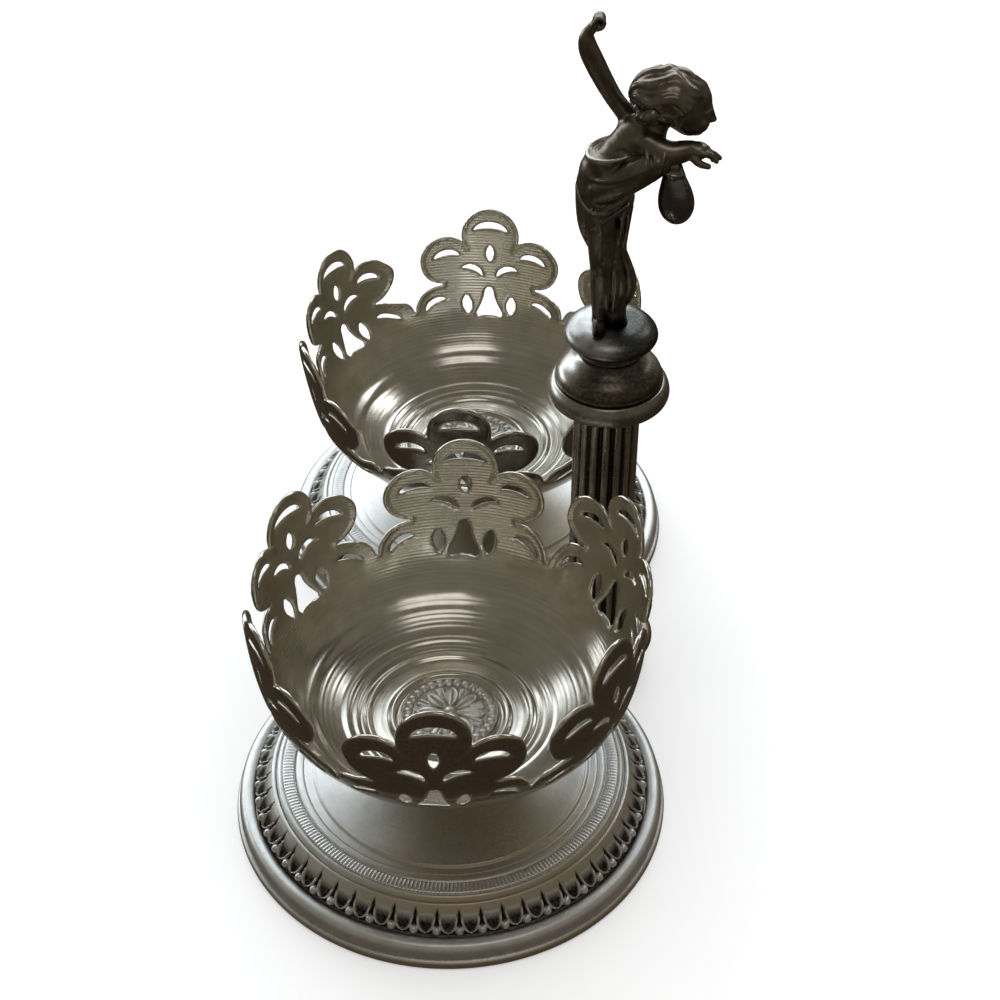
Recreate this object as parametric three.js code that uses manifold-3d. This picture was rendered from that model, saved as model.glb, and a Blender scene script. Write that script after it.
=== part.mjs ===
// A double open salt: two round spread feet, each with a pierced cup, joined at their rims,
// and a fluted column in the notch between them that carries a cast dancing child.
// Millimetres, +Z up. The two salts stand in a row along Y, and the column stands on the +X side.
// The origin is under the middle of the object's bounding box, on the table.

import * as THREE from "three";
import { mergeVertices } from "three/addons/utils/BufferGeometryUtils.js";
import Module from "manifold-3d";

const wasm = await Module();
wasm.setup();

// Clearances
const solderGap = 0.3; // between two rims, or a rim and the saddle, that solder joins
const seatGap = 0.2; // under a curved or sloping piece that rests on another
const boltClearance = 0.3; // round a stud or rod in its hole, on the radius
const castGap = 0.3; // between two cast pieces of the figure
const cupClearance = 0.9; // between a cup and its neighbours

// The spread foot, a spun shell inside a rolled rim
const footRadius = 40;
const footWall = 0.9;
const rimWidth = 3.5;
const rimHeight = 4.8;
const rimFlat = 2.4; // width of the flat face that stands on the table
const rimInset = 0.2; // from the rim's inside to that flat face
const borderInset = 0.6; // the bead line between the rim and the leaf border
const borderDrop = 0.2; // the leaf border's foot, under the rim's top
const borderWidth = 3.3; // the leaf border's sloping face, across
const borderRise = 3.7;
const ovoloWidth = 1.2;
const ovoloRise = 1.5;
const tickWidth = 2.6;
const landWidth = 3.2;
const landRise = 0.1;
const stepWidth = 0.3;
const stepRise = 0.4;
const neckRadius = 8;
const neckHeight = 19.2;
const leafCount = 56;
const leafRelief = 0.7;
const borderWall = 0.6;

// The pierced cup
const collarHeight = 2;
const collarRadius = 9;
const cupWall = 0.8;
const cupFloorRadius = 10.8;
const cupNotchRadius = 32; // inside the wall, where the lobes part
const cupNotchRise = 13.2; // above the cup's floor
const cupTipRadius = 35.4; // inside the wall, at the lobes' tips
const lobeHeight = 23.2;
const lobeCount = 6;
const frontCupTurn = -1; // degrees, how far each cup is turned on its foot
const rearCupTurn = -2;

// The rosette stud that holds a cup on its foot
const rosetteRadius = 8.6;
const rosetteHeight = 0.9;
const rosetteDome = 1.2;
const rosettePetals = 8;
const petalRelief = 0.25;
const studRadius = 1.5;
const washerRadius = 4.2;
const washerHeight = 1;
const nutAcrossCorners = 6.4;
const nutHeight = 2.4;
const studEnd = 0.8; // of thread showing under the nut

// The column
const columnStandoff = 8.1; // from the column's axis to each rim
const rimOverlap = 3.1; // how far the column's foot reaches over each rim
const columnFootHeight = 5.2;
const shaftRadius = 6;
const shaftLength = 53.8;
const fluteCount = 20;
const fluteDepth = 0.7;
const tieRodRadius = 1.5;
const capitalRadius = 11;
const capitalRingHeight = 4.6;
const bellRadius = 9.4;
const bellHeight = 8.4;
const capitalNeckRadius = 5.4;
const plinthRadius = 8.4;
const plinthHeight = 4.8;

// The saddle between the rims, under the column's foot
const saddleFloorGap = 0.6; // above the table
const saddleTongue = 2.4; // half the width of its thin end
const saddleInset = 1.4; // from the edge of the column's foot
const rodWasherHeight = 0.5;
const rodWasherRadius = 3.2;
const rodNutHeight = 2.2;
const rodNutAcrossCorners = 6;
const nutPocketRadius = 3.5;

// The figure
const figureHeight = 58;
const figureBore = 3.4; // how far the tie rod screws into the figure's foot

const bareSeat = rimHeight + seatGap; // the height at which the column's foot sits over the rims
const collarSeat = neckHeight + collarHeight;
const cupFloor = collarSeat + cupWall;
const cupReach = cupTipRadius + cupWall;
const saltSpacing = 2 * Math.max(footRadius, cupReach + cupClearance) + solderGap;
const columnDistance = Math.max(
  footRadius + columnStandoff,
  cupReach + capitalRadius + cupClearance,
);
const columnX = Math.sqrt(columnDistance ** 2 - (saltSpacing / 2) ** 2);
const columnFootRadius = columnDistance - footRadius + rimOverlap;
const studHole = studRadius + boltClearance;
const rodHole = tieRodRadius + boltClearance;

// Facets and steps
const footSteps = 36; // round a foot
const columnSteps = 20; // round a turned piece of the column
const boreSteps = 14; // round a washer, a rod or a hole
const petalSteps = 12; // round a lobe's petal
const holeSteps = 2; // along each side of a crescent hole
const trumpetSteps = 4; // along each curve of a profile
const bowlSteps = 4;
const lobeSteps = 3;
const bodySides = 14; // round the figure's body, and round its head
const limbSides = 10;
const headRings = 9;

const finishes = {
  satinSilver: { color: 0xb9bdbd, roughness: 0.38, metalness: 1 },
  darkenedSilver: { color: 0x77746a, roughness: 0.34, metalness: 1 },
  cupSilver: { color: 0x8d887b, roughness: 0.3, metalness: 1 },
  columnPatina: { color: 0x4a443c, roughness: 0.36, metalness: 1 },
  figurePatina: { color: 0x2a2520, roughness: 0.34, metalness: 1 },
  brass: { color: 0xb08d4a, roughness: 0.4, metalness: 1 },
};

function addPiece(parent, name, geometry, finish) {
  const piece = new THREE.Mesh(geometry, new THREE.MeshStandardMaterial(finishes[finish]));
  piece.name = name;
  parent.add(piece);
  return piece;
}

// Solids for cutting and joining

function solidFrom(geometry) {
  const bare = geometry.clone();
  bare.deleteAttribute("normal");
  bare.deleteAttribute("uv");
  const merged = mergeVertices(bare, 1e-4);
  return new wasm.Manifold(
    new wasm.Mesh({
      numProp: 3,
      vertProperties: merged.attributes.position.array,
      triVerts: new Uint32Array(merged.index.array),
    }),
  );
}

function geometryFrom(solid) {
  const mesh = solid.getMesh();
  const geometry = new THREE.BufferGeometry();
  geometry.setAttribute("position", new THREE.BufferAttribute(mesh.vertProperties, 3));
  geometry.setIndex(new THREE.BufferAttribute(mesh.triVerts, 1));
  geometry.computeVertexNormals();
  return geometry;
}

const joined = (solids) => solids.reduce((whole, piece) => whole.add(piece));

// Turned shapes

const point = (radius, height) => new THREE.Vector2(radius, height);

// A profile turned about Z. relief(angle, radius, height) may give a new [radius, height].
function turned(profile, steps, relief = null) {
  const geometry = new THREE.LatheGeometry(profile, steps);
  geometry.rotateX(Math.PI / 2);
  if (relief) {
    const place = geometry.attributes.position;
    for (let i = 0; i < place.count; i++) {
      const radius = Math.hypot(place.getX(i), place.getY(i));
      const angle = Math.atan2(place.getY(i), place.getX(i));
      const [newRadius, newHeight] = relief(angle, radius, place.getZ(i));
      place.setXYZ(i, newRadius * Math.cos(angle), newRadius * Math.sin(angle), newHeight);
    }
  }
  return geometry;
}

// An outline's [across, up] shares, set between two radii and from a bottom up a height.
const outlineBetween = (shares, inner, outer, bottom, height) =>
  shares.map(([across, up]) => point(inner + across * (outer - inner), bottom + up * height));

function disc(radius, bottom, top, steps = columnSteps) {
  return turned([point(0, bottom), point(radius, bottom), point(radius, top), point(0, top)], steps);
}

function washer(hole, outer, bottom, height) {
  const top = bottom + height;
  const corners = [point(hole, bottom), point(outer, bottom), point(outer, top), point(hole, top)];
  return turned([...corners, corners[0].clone()], boreSteps);
}

// The same line moved sideways by a distance, to the right of the way it runs.
function besideLine(line, distance) {
  return line.map((here, i) => {
    const before = line[Math.max(i - 1, 0)];
    const after = line[Math.min(i + 1, line.length - 1)];
    const along = after.clone().sub(before).normalize();
    return point(here.x + along.y * distance, here.y - along.x * distance);
  });
}

// A hexagonal nut on the Z axis.
function nut(acrossCorners, hole, bottom, height) {
  const shape = new THREE.Shape();
  for (let i = 0; i < 6; i++) {
    const angle = (i * Math.PI) / 3;
    const corner = point(Math.cos(angle), Math.sin(angle)).multiplyScalar(acrossCorners / 2);
    if (i) shape.lineTo(corner.x, corner.y);
    else shape.moveTo(corner.x, corner.y);
  }
  shape.closePath();
  shape.holes.push(new THREE.Path().absarc(0, 0, hole, 0, 2 * Math.PI, true));
  const geometry = new THREE.ExtrudeGeometry(shape, {
    depth: height,
    bevelEnabled: false,
    curveSegments: boreSteps,
  });
  geometry.translate(0, 0, bottom);
  return geometry;
}

// The spread foot

const rimInner = footRadius - rimWidth;
const plateEdge = rimInner - seatGap;
const borderFoot = point(plateEdge - borderInset, rimHeight - borderDrop);
const borderHead = point(borderFoot.x - borderWidth, borderFoot.y + borderRise);
const ovoloHead = point(borderHead.x - ovoloWidth, borderHead.y + ovoloRise);
const landEdge = ovoloHead.x - tickWidth - landWidth;

function rolledRim() {
  const flatInner = rimInner + rimInset;
  const flat = [point(flatInner, 0), point(flatInner + rimFlat, 0)];
  const shares = [[0.93, 0.2], [1, 0.5], [0.93, 0.75], [0.75, 0.95], [0.5, 1], [0, 0.86]];
  const roll = outlineBetween(shares, rimInner, footRadius, 0, rimHeight);
  return turned([...flat, ...roll, flat[0].clone()], footSteps);
}

// The shell's upper line from its edge inside the rim to the stud hole in its neck.
function plateLine() {
  const trumpet = new THREE.CubicBezierCurve(
    point(landEdge - stepWidth, ovoloHead.y + stepRise),
    point(neckRadius + (landEdge - neckRadius) * 0.35, ovoloHead.y + 2 * stepRise),
    point(neckRadius, neckHeight * 0.8),
    point(neckRadius, neckHeight),
  );
  return [
    point(plateEdge, rimHeight * 0.3),
    point(plateEdge, borderFoot.y),
    borderFoot,
    borderHead,
    ovoloHead,
    point(landEdge, ovoloHead.y + landRise),
    ...trumpet.getPoints(trumpetSteps),
    point(studHole, neckHeight),
  ];
}

function footPlate() {
  const upper = plateLine();
  const lower = besideLine(upper, -footWall).slice(3);
  lower[0] = point(borderHead.x - footWall, borderHead.y - footWall);
  lower[lower.length - 2] = point(neckRadius - footWall, neckHeight - footWall);
  lower[lower.length - 1] = point(studHole, neckHeight - footWall);
  const edge = [borderFoot.y - footWall, upper[0].y].map((height) => point(plateEdge - footWall, height));
  return turned([...upper, ...lower.reverse(), ...edge, upper[0].clone()], footSteps);
}

// The strip of leaves with a bead between each two, on the plate's outer slope.
function leafBorder() {
  const slope = borderHead.clone().sub(borderFoot).normalize();
  const out = point(slope.y, -slope.x);
  const length = borderHead.distanceTo(borderFoot);
  const onSlope = (share, proud) =>
    borderFoot.clone().lerp(borderHead, share).addScaledVector(out, seatGap + proud);
  const foot = 0.06; // shares of the slope: the strip's foot, its bead line and its head
  const beads = 0.3;
  const tips = 0.9;
  const head = 0.96;
  const section = [
    onSlope(foot, 0),
    onSlope(foot, borderWall),
    onSlope(beads, borderWall),
    onSlope(tips, borderWall),
    onSlope(head, 0),
    onSlope(foot, 0),
  ];
  return turned(section, 2 * leafCount, (angle, radius, height) => {
    const place = point(radius, height).sub(borderFoot);
    if (place.dot(out) < seatGap + borderWall / 2) return [radius, height];
    const leaf = (1 + Math.cos(leafCount * angle)) / 2;
    const share = place.dot(slope) / length;
    const rise = leafRelief * (share < beads / 2 ? 1 - leaf : leaf * (1 + beads - share));
    return [radius + out.x * rise, height + out.y * rise];
  });
}

// The pierced cup

// The wall's inner line, from the stud hole over the floor to the lobes' tips.
function cupLine() {
  const bowlShares = [[0, 0], [0.48, 0], [0.86, 0.45], [1, 1]];
  const lobeShares = [[0, 0], [0.82, 0.34], [1, 1]];
  const notch = cupFloor + cupNotchRise;
  const bowl = new THREE.CubicBezierCurve(
    ...outlineBetween(bowlShares, cupFloorRadius, cupNotchRadius, cupFloor, cupNotchRise),
  );
  const lobes = new THREE.QuadraticBezierCurve(
    ...outlineBetween(lobeShares, cupNotchRadius, cupTipRadius, notch, lobeHeight),
  );
  return [point(studHole, cupFloor), ...bowl.getPoints(bowlSteps), ...lobes.getPoints(lobeSteps).slice(1)];
}

// A flat outline, across and up, made a prism that runs outwards along +X.
function radialPrism(shape, from, to, curveSegments) {
  const geometry = new THREE.ExtrudeGeometry(shape, {
    depth: to - from,
    bevelEnabled: false,
    curveSegments,
  });
  geometry.applyMatrix4(
    new THREE.Matrix4().makeBasis(
      new THREE.Vector3(0, 1, 0),
      new THREE.Vector3(0, 0, 1),
      new THREE.Vector3(1, 0, 0),
    ),
  );
  geometry.translate(from, 0, cupFloor + cupNotchRise);
  return solidFrom(geometry);
}

// The petals of one lobe: across and up from the notch, and radius, as shares of the lobe's height.
const petals = [
  { across: 0, up: 0.735, radius: 0.265 },
  { across: 0.4, up: 0.59, radius: 0.25 },
  { across: -0.4, up: 0.59, radius: 0.25 },
  { across: 0.44, up: 0.14, radius: 0.24 },
  { across: -0.44, up: 0.14, radius: 0.24 },
];

const outlineOf = (corners) =>
  new THREE.Shape(corners.map(([across, up]) => point(across * lobeHeight, up * lobeHeight)));

// One lobe's outline as a radial block: five round petals and the web that joins them.
function lobeBlock(from, to) {
  const round = petals.map(({ across, up, radius }) => {
    const petal = new THREE.Shape().absarc(
      across * lobeHeight,
      up * lobeHeight,
      radius * lobeHeight,
      0,
      2 * Math.PI,
    );
    return radialPrism(petal, from, to, petalSteps);
  });
  const web = [
    [-0.5, -0.3],
    [0.5, -0.3],
    [0.44, 0.14],
    [0.4, 0.59],
    [0, 0.735],
    [-0.4, 0.59],
    [-0.44, 0.14],
  ];
  return joined([...round, radialPrism(outlineOf(web), from, to, 1)]);
}

// A crescent with its horns down, turned by lean, as shares of the lobe's height.
function crescent(across, up, width, height, lean) {
  const shape = new THREE.Shape();
  const place = (x, y) => {
    const turn = point(x, y).rotateAround(point(0, 0), lean);
    return [(across + turn.x) * lobeHeight, (up + turn.y) * lobeHeight];
  };
  shape.moveTo(...place(-width / 2, 0));
  shape.quadraticCurveTo(...place(0, -height * 0.5), ...place(width / 2, 0));
  shape.quadraticCurveTo(...place(0, height * 1.7), ...place(-width / 2, 0));
  return shape;
}

// The eleven holes of one lobe.
function lobeHoles(from, to) {
  const sides = [1, -1];
  const shapes = [crescent(0, 0.8, 0.3, 0.1, 0)];
  shapes.push(outlineOf([[0, 0.52], [0.035, 0.6], [0, 0.68], [-0.035, 0.6]]));
  shapes.push(outlineOf([[-0.11, -0.08], [0.11, -0.08], [0, 0.27]]));
  for (const side of sides) {
    shapes.push(crescent(side * 0.42, 0.63, 0.26, 0.1, side * -0.5));
    shapes.push(crescent(side * 0.2, 0.43, 0.2, 0.07, side * 0.45));
    shapes.push(crescent(side * 0.47, 0.16, 0.24, 0.09, side * -0.7));
    const diamond = [[0.13, 0.05], [0.2, -0.05], [0.26, 0.1], [0.2, 0.22]];
    const placed = diamond.map(([across, up]) => [side * across, up]);
    shapes.push(outlineOf(side > 0 ? placed : placed.reverse()));
  }
  return joined(shapes.map((shape) => radialPrism(shape, from, to, holeSteps)));
}

function piercedCup() {
  const inner = cupLine();
  const outer = besideLine(inner, cupWall);
  outer[0] = point(studHole, collarSeat);
  outer[1] = point(cupFloorRadius, collarSeat);
  const wall = solidFrom(
    turned([...outer, ...inner.reverse(), outer[0].clone()], 4 * lobeCount),
  );
  const from = cupNotchRadius * 0.5;
  const to = cupReach + cupWall;
  const bowl = solidFrom(disc(to, collarSeat - cupWall, cupFloor + cupNotchRise, lobeCount * 4));
  const block = lobeBlock(from, to);
  const holes = lobeHoles(from, to);
  const turns = Array.from({ length: lobeCount }, (_, i) => ((i + 0.5) * 360) / lobeCount);
  const blank = joined([bowl, ...turns.map((turn) => block.rotate([0, 0, turn]))]);
  const cut = joined(turns.map((turn) => holes.rotate([0, 0, turn])));
  return geometryFrom(wall.intersect(blank).subtract(cut));
}

// The flared collar that carries the bowl on the neck.
function cupCollar() {
  const shares = [[0, 0], [1, 0.45], [0.6, 1]];
  const flare = outlineBetween(shares, neckRadius, collarRadius, neckHeight, collarHeight);
  const inside = [point(studHole, collarSeat), point(studHole, neckHeight)];
  return turned([point(studHole, neckHeight), ...flare, ...inside], columnSteps);
}

// A stud whose head is the rosette in the cup's floor, its petals raised between the boss and the ring.
function rosetteStud() {
  const end = neckHeight - footWall - washerHeight - nutHeight - studEnd;
  const stem = [point(0, end), point(studRadius, end), point(studRadius, cupFloor)];
  const ringShares = [[1, 0], [1, 0.78], [0.9, 1], [0.72, 0.67]];
  const ring = outlineBetween(ringShares, 0, rosetteRadius, cupFloor, rosetteHeight);
  const bossShares = [[0.4, 0.3], [0.18, 0.6], [0, 1]];
  const boss = outlineBetween(bossShares, 0, rosetteRadius, cupFloor + rosetteHeight, rosetteDome);
  const petalFrom = rosetteRadius * 0.3;
  const petalTo = rosetteRadius * 0.8;
  return turned([...stem, ...ring, ...boss], 3 * rosettePetals, (angle, radius, height) => {
    const onPetal = height > cupFloor && radius > petalFrom && radius < petalTo;
    const wave = onPetal ? petalRelief * Math.cos(rosettePetals * angle) : 0;
    return [radius, height + wave];
  });
}

function buildSalt(side, cupTurn) {
  const salt = new THREE.Group();
  const underNeck = neckHeight - footWall;
  addPiece(salt, `${side}_rolled_rim`, rolledRim(), "satinSilver");
  addPiece(salt, `${side}_foot_plate`, footPlate(), "satinSilver");
  addPiece(salt, `${side}_leaf_border`, leafBorder(), "darkenedSilver");
  addPiece(salt, `${side}_cup_collar`, cupCollar(), "satinSilver");
  const cup = addPiece(salt, `${side}_pierced_cup`, piercedCup(), "cupSilver");
  cup.rotation.z = THREE.MathUtils.degToRad(cupTurn);
  addPiece(salt, `${side}_rosette_stud`, rosetteStud(), "cupSilver");
  const washerBottom = underNeck - washerHeight;
  const studWasher = washer(studHole, washerRadius, washerBottom, washerHeight);
  addPiece(salt, `${side}_stud_washer`, studWasher, "brass");
  const nutBottom = washerBottom - nutHeight;
  addPiece(salt, `${side}_stud_nut`, nut(nutAcrossCorners, studHole, nutBottom, nutHeight), "brass");
  return salt;
}

// The saddle in the notch between the two rims, with a pocket for the tie rod's nut.
function rimSaddle() {
  const rimCut = footRadius + solderGap;
  const tongueEnd = Math.sqrt(Math.max(0, rimCut ** 2 - (saltSpacing / 2 - saddleTongue) ** 2));
  const seat = disc(columnFootRadius - saddleInset, saddleFloorGap, bareSeat);
  seat.translate(columnX, 0, 0);
  const reach = columnX - tongueEnd;
  const height = bareSeat - saddleFloorGap;
  const tongue = new THREE.BoxGeometry(reach, columnFootRadius, height);
  tongue.translate(columnX - reach / 2, 0, saddleFloorGap + height / 2);
  const bore = disc(rodHole, 0, bareSeat + seatGap, boreSteps);
  bore.translate(columnX, 0, 0);
  const pocket = disc(nutPocketRadius, 0, saddleNutSeat);
  pocket.translate(columnX, 0, 0);
  const rimBlocks = [-1, 1].map((side) => {
    const block = disc(rimCut, -rimHeight, 2 * rimHeight, 2 * footSteps);
    block.translate(0, (side * saltSpacing) / 2, 0);
    return solidFrom(block);
  });
  const cuts = joined([...rimBlocks, solidFrom(bore), solidFrom(pocket)]);
  return geometryFrom(solidFrom(seat).add(solidFrom(tongue)).subtract(cuts));
}

// The column

const rodNutBottom = saddleFloorGap + seatGap;
const saddleNutSeat = rodNutBottom + rodNutHeight + rodWasherHeight;
const shaftBottom = bareSeat + columnFootHeight;
const shaftTop = shaftBottom + shaftLength;
const bellBottom = shaftTop + capitalRingHeight;
const plinthBottom = bellBottom + bellHeight;
const plinthTop = plinthBottom + plinthHeight;
const bellSeatRadius = bellRadius * 0.9;

const bored = (outline) => {
  const first = outline[0];
  const last = outline[outline.length - 1];
  return [point(rodHole, first.y), ...outline, point(rodHole, last.y), point(rodHole, first.y)];
};

function boredTurning(shares, inner, outer, bottom, height) {
  return turned(bored(outlineBetween(shares, inner, outer, bottom, height)), columnSteps);
}

// A round plate with a rolled edge and a socket ring for the shaft.
function columnFoot() {
  const shares = [[0.81, 0], [1, 0.17], [1, 0.33], [0.81, 0.48], [0.58, 0.52], [0.27, 0.67], [0.23, 1]];
  return boredTurning(shares, shaftRadius, columnFootRadius, bareSeat, columnFootHeight);
}

// The shaft, with a round-bottomed flute between each two narrow ridges.
function flutedShaft() {
  const outline = [point(shaftRadius, shaftBottom), point(shaftRadius, shaftTop)];
  return turned(bored(outline), 4 * fluteCount, (angle, radius, height) => {
    if (radius < shaftRadius - fluteDepth) return [radius, height];
    const phase = (angle * fluteCount) / (2 * Math.PI);
    const fromRidge = Math.abs(phase - Math.round(phase)) * 2;
    return [radius - fluteDepth * Math.min(1, fromRidge * 1.5), height];
  });
}

// The ring swells out of the shaft to its edge and closes in to the bell's seat.
function capitalRing() {
  const seat = (bellSeatRadius - shaftRadius) / (capitalRadius - shaftRadius);
  const shares = [[0.1, 0], [0.16, 0.15], [0.68, 0.3], [1, 0.47], [1, 0.69], [0.76, 0.9], [seat, 1]];
  return boredTurning(shares, shaftRadius, capitalRadius, shaftTop, capitalRingHeight);
}

function capitalBell() {
  const seat = (bellSeatRadius - capitalNeckRadius) / (bellRadius - capitalNeckRadius);
  const shares = [[seat, 0], [1, 0.1], [0.97, 0.2], [0.77, 0.4], [0.4, 0.66], [0, 0.86], [0, 1]];
  return boredTurning(shares, capitalNeckRadius, bellRadius, bellBottom, bellHeight);
}

function figurePlinth() {
  const shares = [[0.13, 0], [0.7, 0.2], [1, 0.48], [0.87, 0.74], [0.4, 0.95], [0, 1]];
  return boredTurning(shares, capitalNeckRadius, plinthRadius, plinthBottom, plinthHeight);
}

function buildColumn() {
  const column = new THREE.Group();
  column.position.x = columnX;
  addPiece(column, "column_foot", columnFoot(), "columnPatina");
  addPiece(column, "fluted_shaft", flutedShaft(), "columnPatina");
  addPiece(column, "capital_ring", capitalRing(), "columnPatina");
  addPiece(column, "capital_bell", capitalBell(), "columnPatina");
  addPiece(column, "figure_plinth", figurePlinth(), "columnPatina");
  const rodTop = plinthTop + figureBore - boltClearance;
  addPiece(column, "tie_rod", disc(tieRodRadius, rodNutBottom, rodTop, boreSteps), "brass");
  const rodWasher = washer(rodHole, rodWasherRadius, rodNutBottom + rodNutHeight, rodWasherHeight);
  addPiece(column, "tie_rod_washer", rodWasher, "brass");
  addPiece(column, "tie_rod_nut", nut(rodNutAcrossCorners, rodHole, rodNutBottom, rodNutHeight), "brass");
  return column;
}

// The figure

// Stations are [x, y, z, half width, half depth] in millimetres of a figure 58 mm high,
// from the column's axis and the plinth's top.
const figureUnit = figureHeight / 58;
const bodyStations = [
  [-0.5, 0, -0.2, 2.7, 3],
  [-0.5, 0, 0.8, 3.3, 3.3],
  [0.1, -0.1, 2.4, 3.8, 3.6],
  [0.1, -0.2, 5.2, 3.8, 3.7],
  [-0.3, -0.2, 9.6, 3.5, 3.3],
  [-0.6, -0.1, 13.6, 3.3, 3.1],
  [-1.1, 0, 18, 3.8, 3.5],
  [-1.8, 0, 22.6, 4.5, 4.1],
  [-1.9, 0, 26.4, 4.6, 4.2],
  [-0.5, 0, 30.4, 4.7, 4.3],
  [2, 0.1, 33.6, 4.1, 4.4],
  [3.9, 0.1, 36.6, 3.7, 4.1],
  [5, 0.1, 39, 2.7, 2.9],
  [6.2, 0, 41, 2.2, 2.2],
  [7, 0, 42.4, 2, 2],
];
const raisedArmStations = [
  [1.8, 3.1, 37.4, 1.6, 1.6],
  [-0.5, 3.6, 41.2, 1.5, 1.5],
  [-3, 3.8, 45.8, 1.75, 1.7],
  [-4.8, 3.6, 50.2, 1.8, 1.7],
  [-5.5, 3.4, 53, 1.3, 1.25],
  [-4.6, 3.1, 55.1, 0.95, 0.95],
  [-3.4, 3, 57, 0.9, 1.15],
];
const forwardArmStations = [
  [-2.6, -3.6, 28.4, 2.6, 2.6],
  [-0.4, -4.2, 30.2, 3, 3],
  [4, -4.3, 32.9, 2.8, 2.6],
  [9, -3.8, 34.8, 2.2, 2.1],
  [12.6, -3.3, 35.6, 1.7, 1.6],
  [14.8, -3, 35.6, 1.7, 2],
  [16.9, -2.8, 35.3, 0.9, 1.3],
];
const dropStations = [
  [9, -4, 32.6, 1.8, 1.8],
  [9.2, -4, 30.6, 2.2, 2.1],
  [9.6, -4, 28.4, 2.7, 2.6],
  [10, -4, 26.2, 3.1, 3],
  [10.1, -4, 24.2, 2.5, 2.4],
  [10.1, -4, 23.1, 1.1, 1.1],
];
const skull = { centre: [6.9, 0, 44.2], radii: [5.6, 5.1, 4.8] };
const face = { centre: [10.6, 0, 42.4], radii: [6, 4.3, 4.8] };
const headAngle = 0.25; // radians, the brow turned down and forwards

// A rod of changing thickness bent along its stations: a cylinder whose rings are moved there.
function limb(stations, sides, grow = 0) {
  const centres = stations.map(([x, y, z]) => new THREE.Vector3(x, y, z));
  const curve = new THREE.CatmullRomCurve3(centres, false, "centripetal");
  const last = stations.length - 1;
  const geometry = new THREE.CylinderGeometry(1, 1, 1, sides, last);
  const place = geometry.attributes.position;
  for (let i = 0; i < place.count; i++) {
    const index = Math.round((place.getY(i) + 0.5) * last);
    const along = curve.getTangent(index / last);
    const wide = new THREE.Vector3(0, 1, 0).cross(along).normalize();
    const deep = new THREE.Vector3().crossVectors(along, wide);
    const [, , , halfWidth, halfDepth] = stations[index];
    const end = index === 0 ? -grow : index === last ? grow : 0;
    const moved = centres[index]
      .clone()
      .addScaledVector(along, end)
      .addScaledVector(wide, place.getX(i) * (halfWidth + grow))
      .addScaledVector(deep, -place.getZ(i) * (halfDepth + grow));
    place.setXYZ(i, moved.x, moved.y, moved.z);
  }
  return solidFrom(geometry);
}

function ellipsoid({ centre, radii }, grow) {
  const geometry = new THREE.SphereGeometry(1, bodySides, headRings);
  geometry.scale(...radii.map((radius) => radius + grow));
  geometry.rotateY(headAngle);
  geometry.translate(...centre);
  return solidFrom(geometry);
}

const bodySolid = (grow = 0) =>
  joined([limb(bodyStations, bodySides, grow), ellipsoid(skull, grow), ellipsoid(face, grow)]);

// Each part of the casting is cut clear of the ones it is soldered to.
function buildFigure() {
  const figure = new THREE.Group();
  figure.position.set(columnX, 0, plinthTop);
  figure.scale.setScalar(figureUnit);
  const boreDepth = figureBore / figureUnit;
  const gap = castGap / figureUnit;
  const bore = solidFrom(disc(rodHole / figureUnit, 0, boreDepth, boreSteps));
  const belowPlinthTop = solidFrom(disc(plinthRadius / figureUnit, -boreDepth, 0));
  const body = bodySolid().subtract(bore).subtract(belowPlinthTop);
  const clear = bodySolid(gap);
  const forwardArm = limb(forwardArmStations, limbSides);
  const forwardArmClear = limb(forwardArmStations, limbSides, gap);
  addPiece(figure, "figure_body", geometryFrom(body), "figurePatina");
  const raisedArm = limb(raisedArmStations, limbSides).subtract(clear);
  addPiece(figure, "figure_raised_arm", geometryFrom(raisedArm), "figurePatina");
  addPiece(figure, "figure_forward_arm", geometryFrom(forwardArm.subtract(clear)), "figurePatina");
  const drop = limb(dropStations, limbSides).subtract(forwardArmClear);
  addPiece(figure, "figure_drop", geometryFrom(drop), "figurePatina");
  return figure;
}

function buildStand() {
  const stand = new THREE.Group();
  const front = buildSalt("front", frontCupTurn);
  front.position.y = -saltSpacing / 2;
  const rear = buildSalt("rear", rearCupTurn);
  rear.position.y = saltSpacing / 2;
  stand.add(front, rear);
  addPiece(stand, "rim_saddle", rimSaddle(), "satinSilver");
  stand.add(buildColumn(), buildFigure());
  const box = new THREE.Box3().setFromObject(stand, true);
  const middle = box.getCenter(new THREE.Vector3());
  stand.position.set(-middle.x, -middle.y, -box.min.z);
  return stand;
}

export default buildStand();
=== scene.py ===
# %% [markdown]
# # A double open salt
# Two spread feet with pierced cups, joined by a fluted column that carries a cast dancing child.
# The solids of the stand are loaded as a fixed frame. What shows is then made again here as fine
# surfaces, each worked out with numpy, and each laid over the solid that it stands for.

import bpy
import numpy as np
from mathutils import Matrix, Vector


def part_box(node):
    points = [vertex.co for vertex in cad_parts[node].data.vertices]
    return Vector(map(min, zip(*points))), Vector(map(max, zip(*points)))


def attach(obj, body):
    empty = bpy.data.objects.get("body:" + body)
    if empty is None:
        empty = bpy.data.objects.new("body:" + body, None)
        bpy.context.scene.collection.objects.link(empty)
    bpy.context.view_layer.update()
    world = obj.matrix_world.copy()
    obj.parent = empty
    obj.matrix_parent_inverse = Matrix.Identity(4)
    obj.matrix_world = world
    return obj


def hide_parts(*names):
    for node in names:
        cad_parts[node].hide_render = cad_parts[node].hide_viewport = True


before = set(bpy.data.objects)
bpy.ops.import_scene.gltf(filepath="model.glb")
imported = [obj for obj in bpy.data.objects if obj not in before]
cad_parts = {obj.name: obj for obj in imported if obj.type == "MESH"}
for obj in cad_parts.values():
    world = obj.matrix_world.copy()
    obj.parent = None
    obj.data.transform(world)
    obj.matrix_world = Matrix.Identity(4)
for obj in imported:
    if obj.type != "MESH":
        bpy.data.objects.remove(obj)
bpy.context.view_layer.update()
MM = 0.001
TAU = 2 * np.pi

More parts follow.
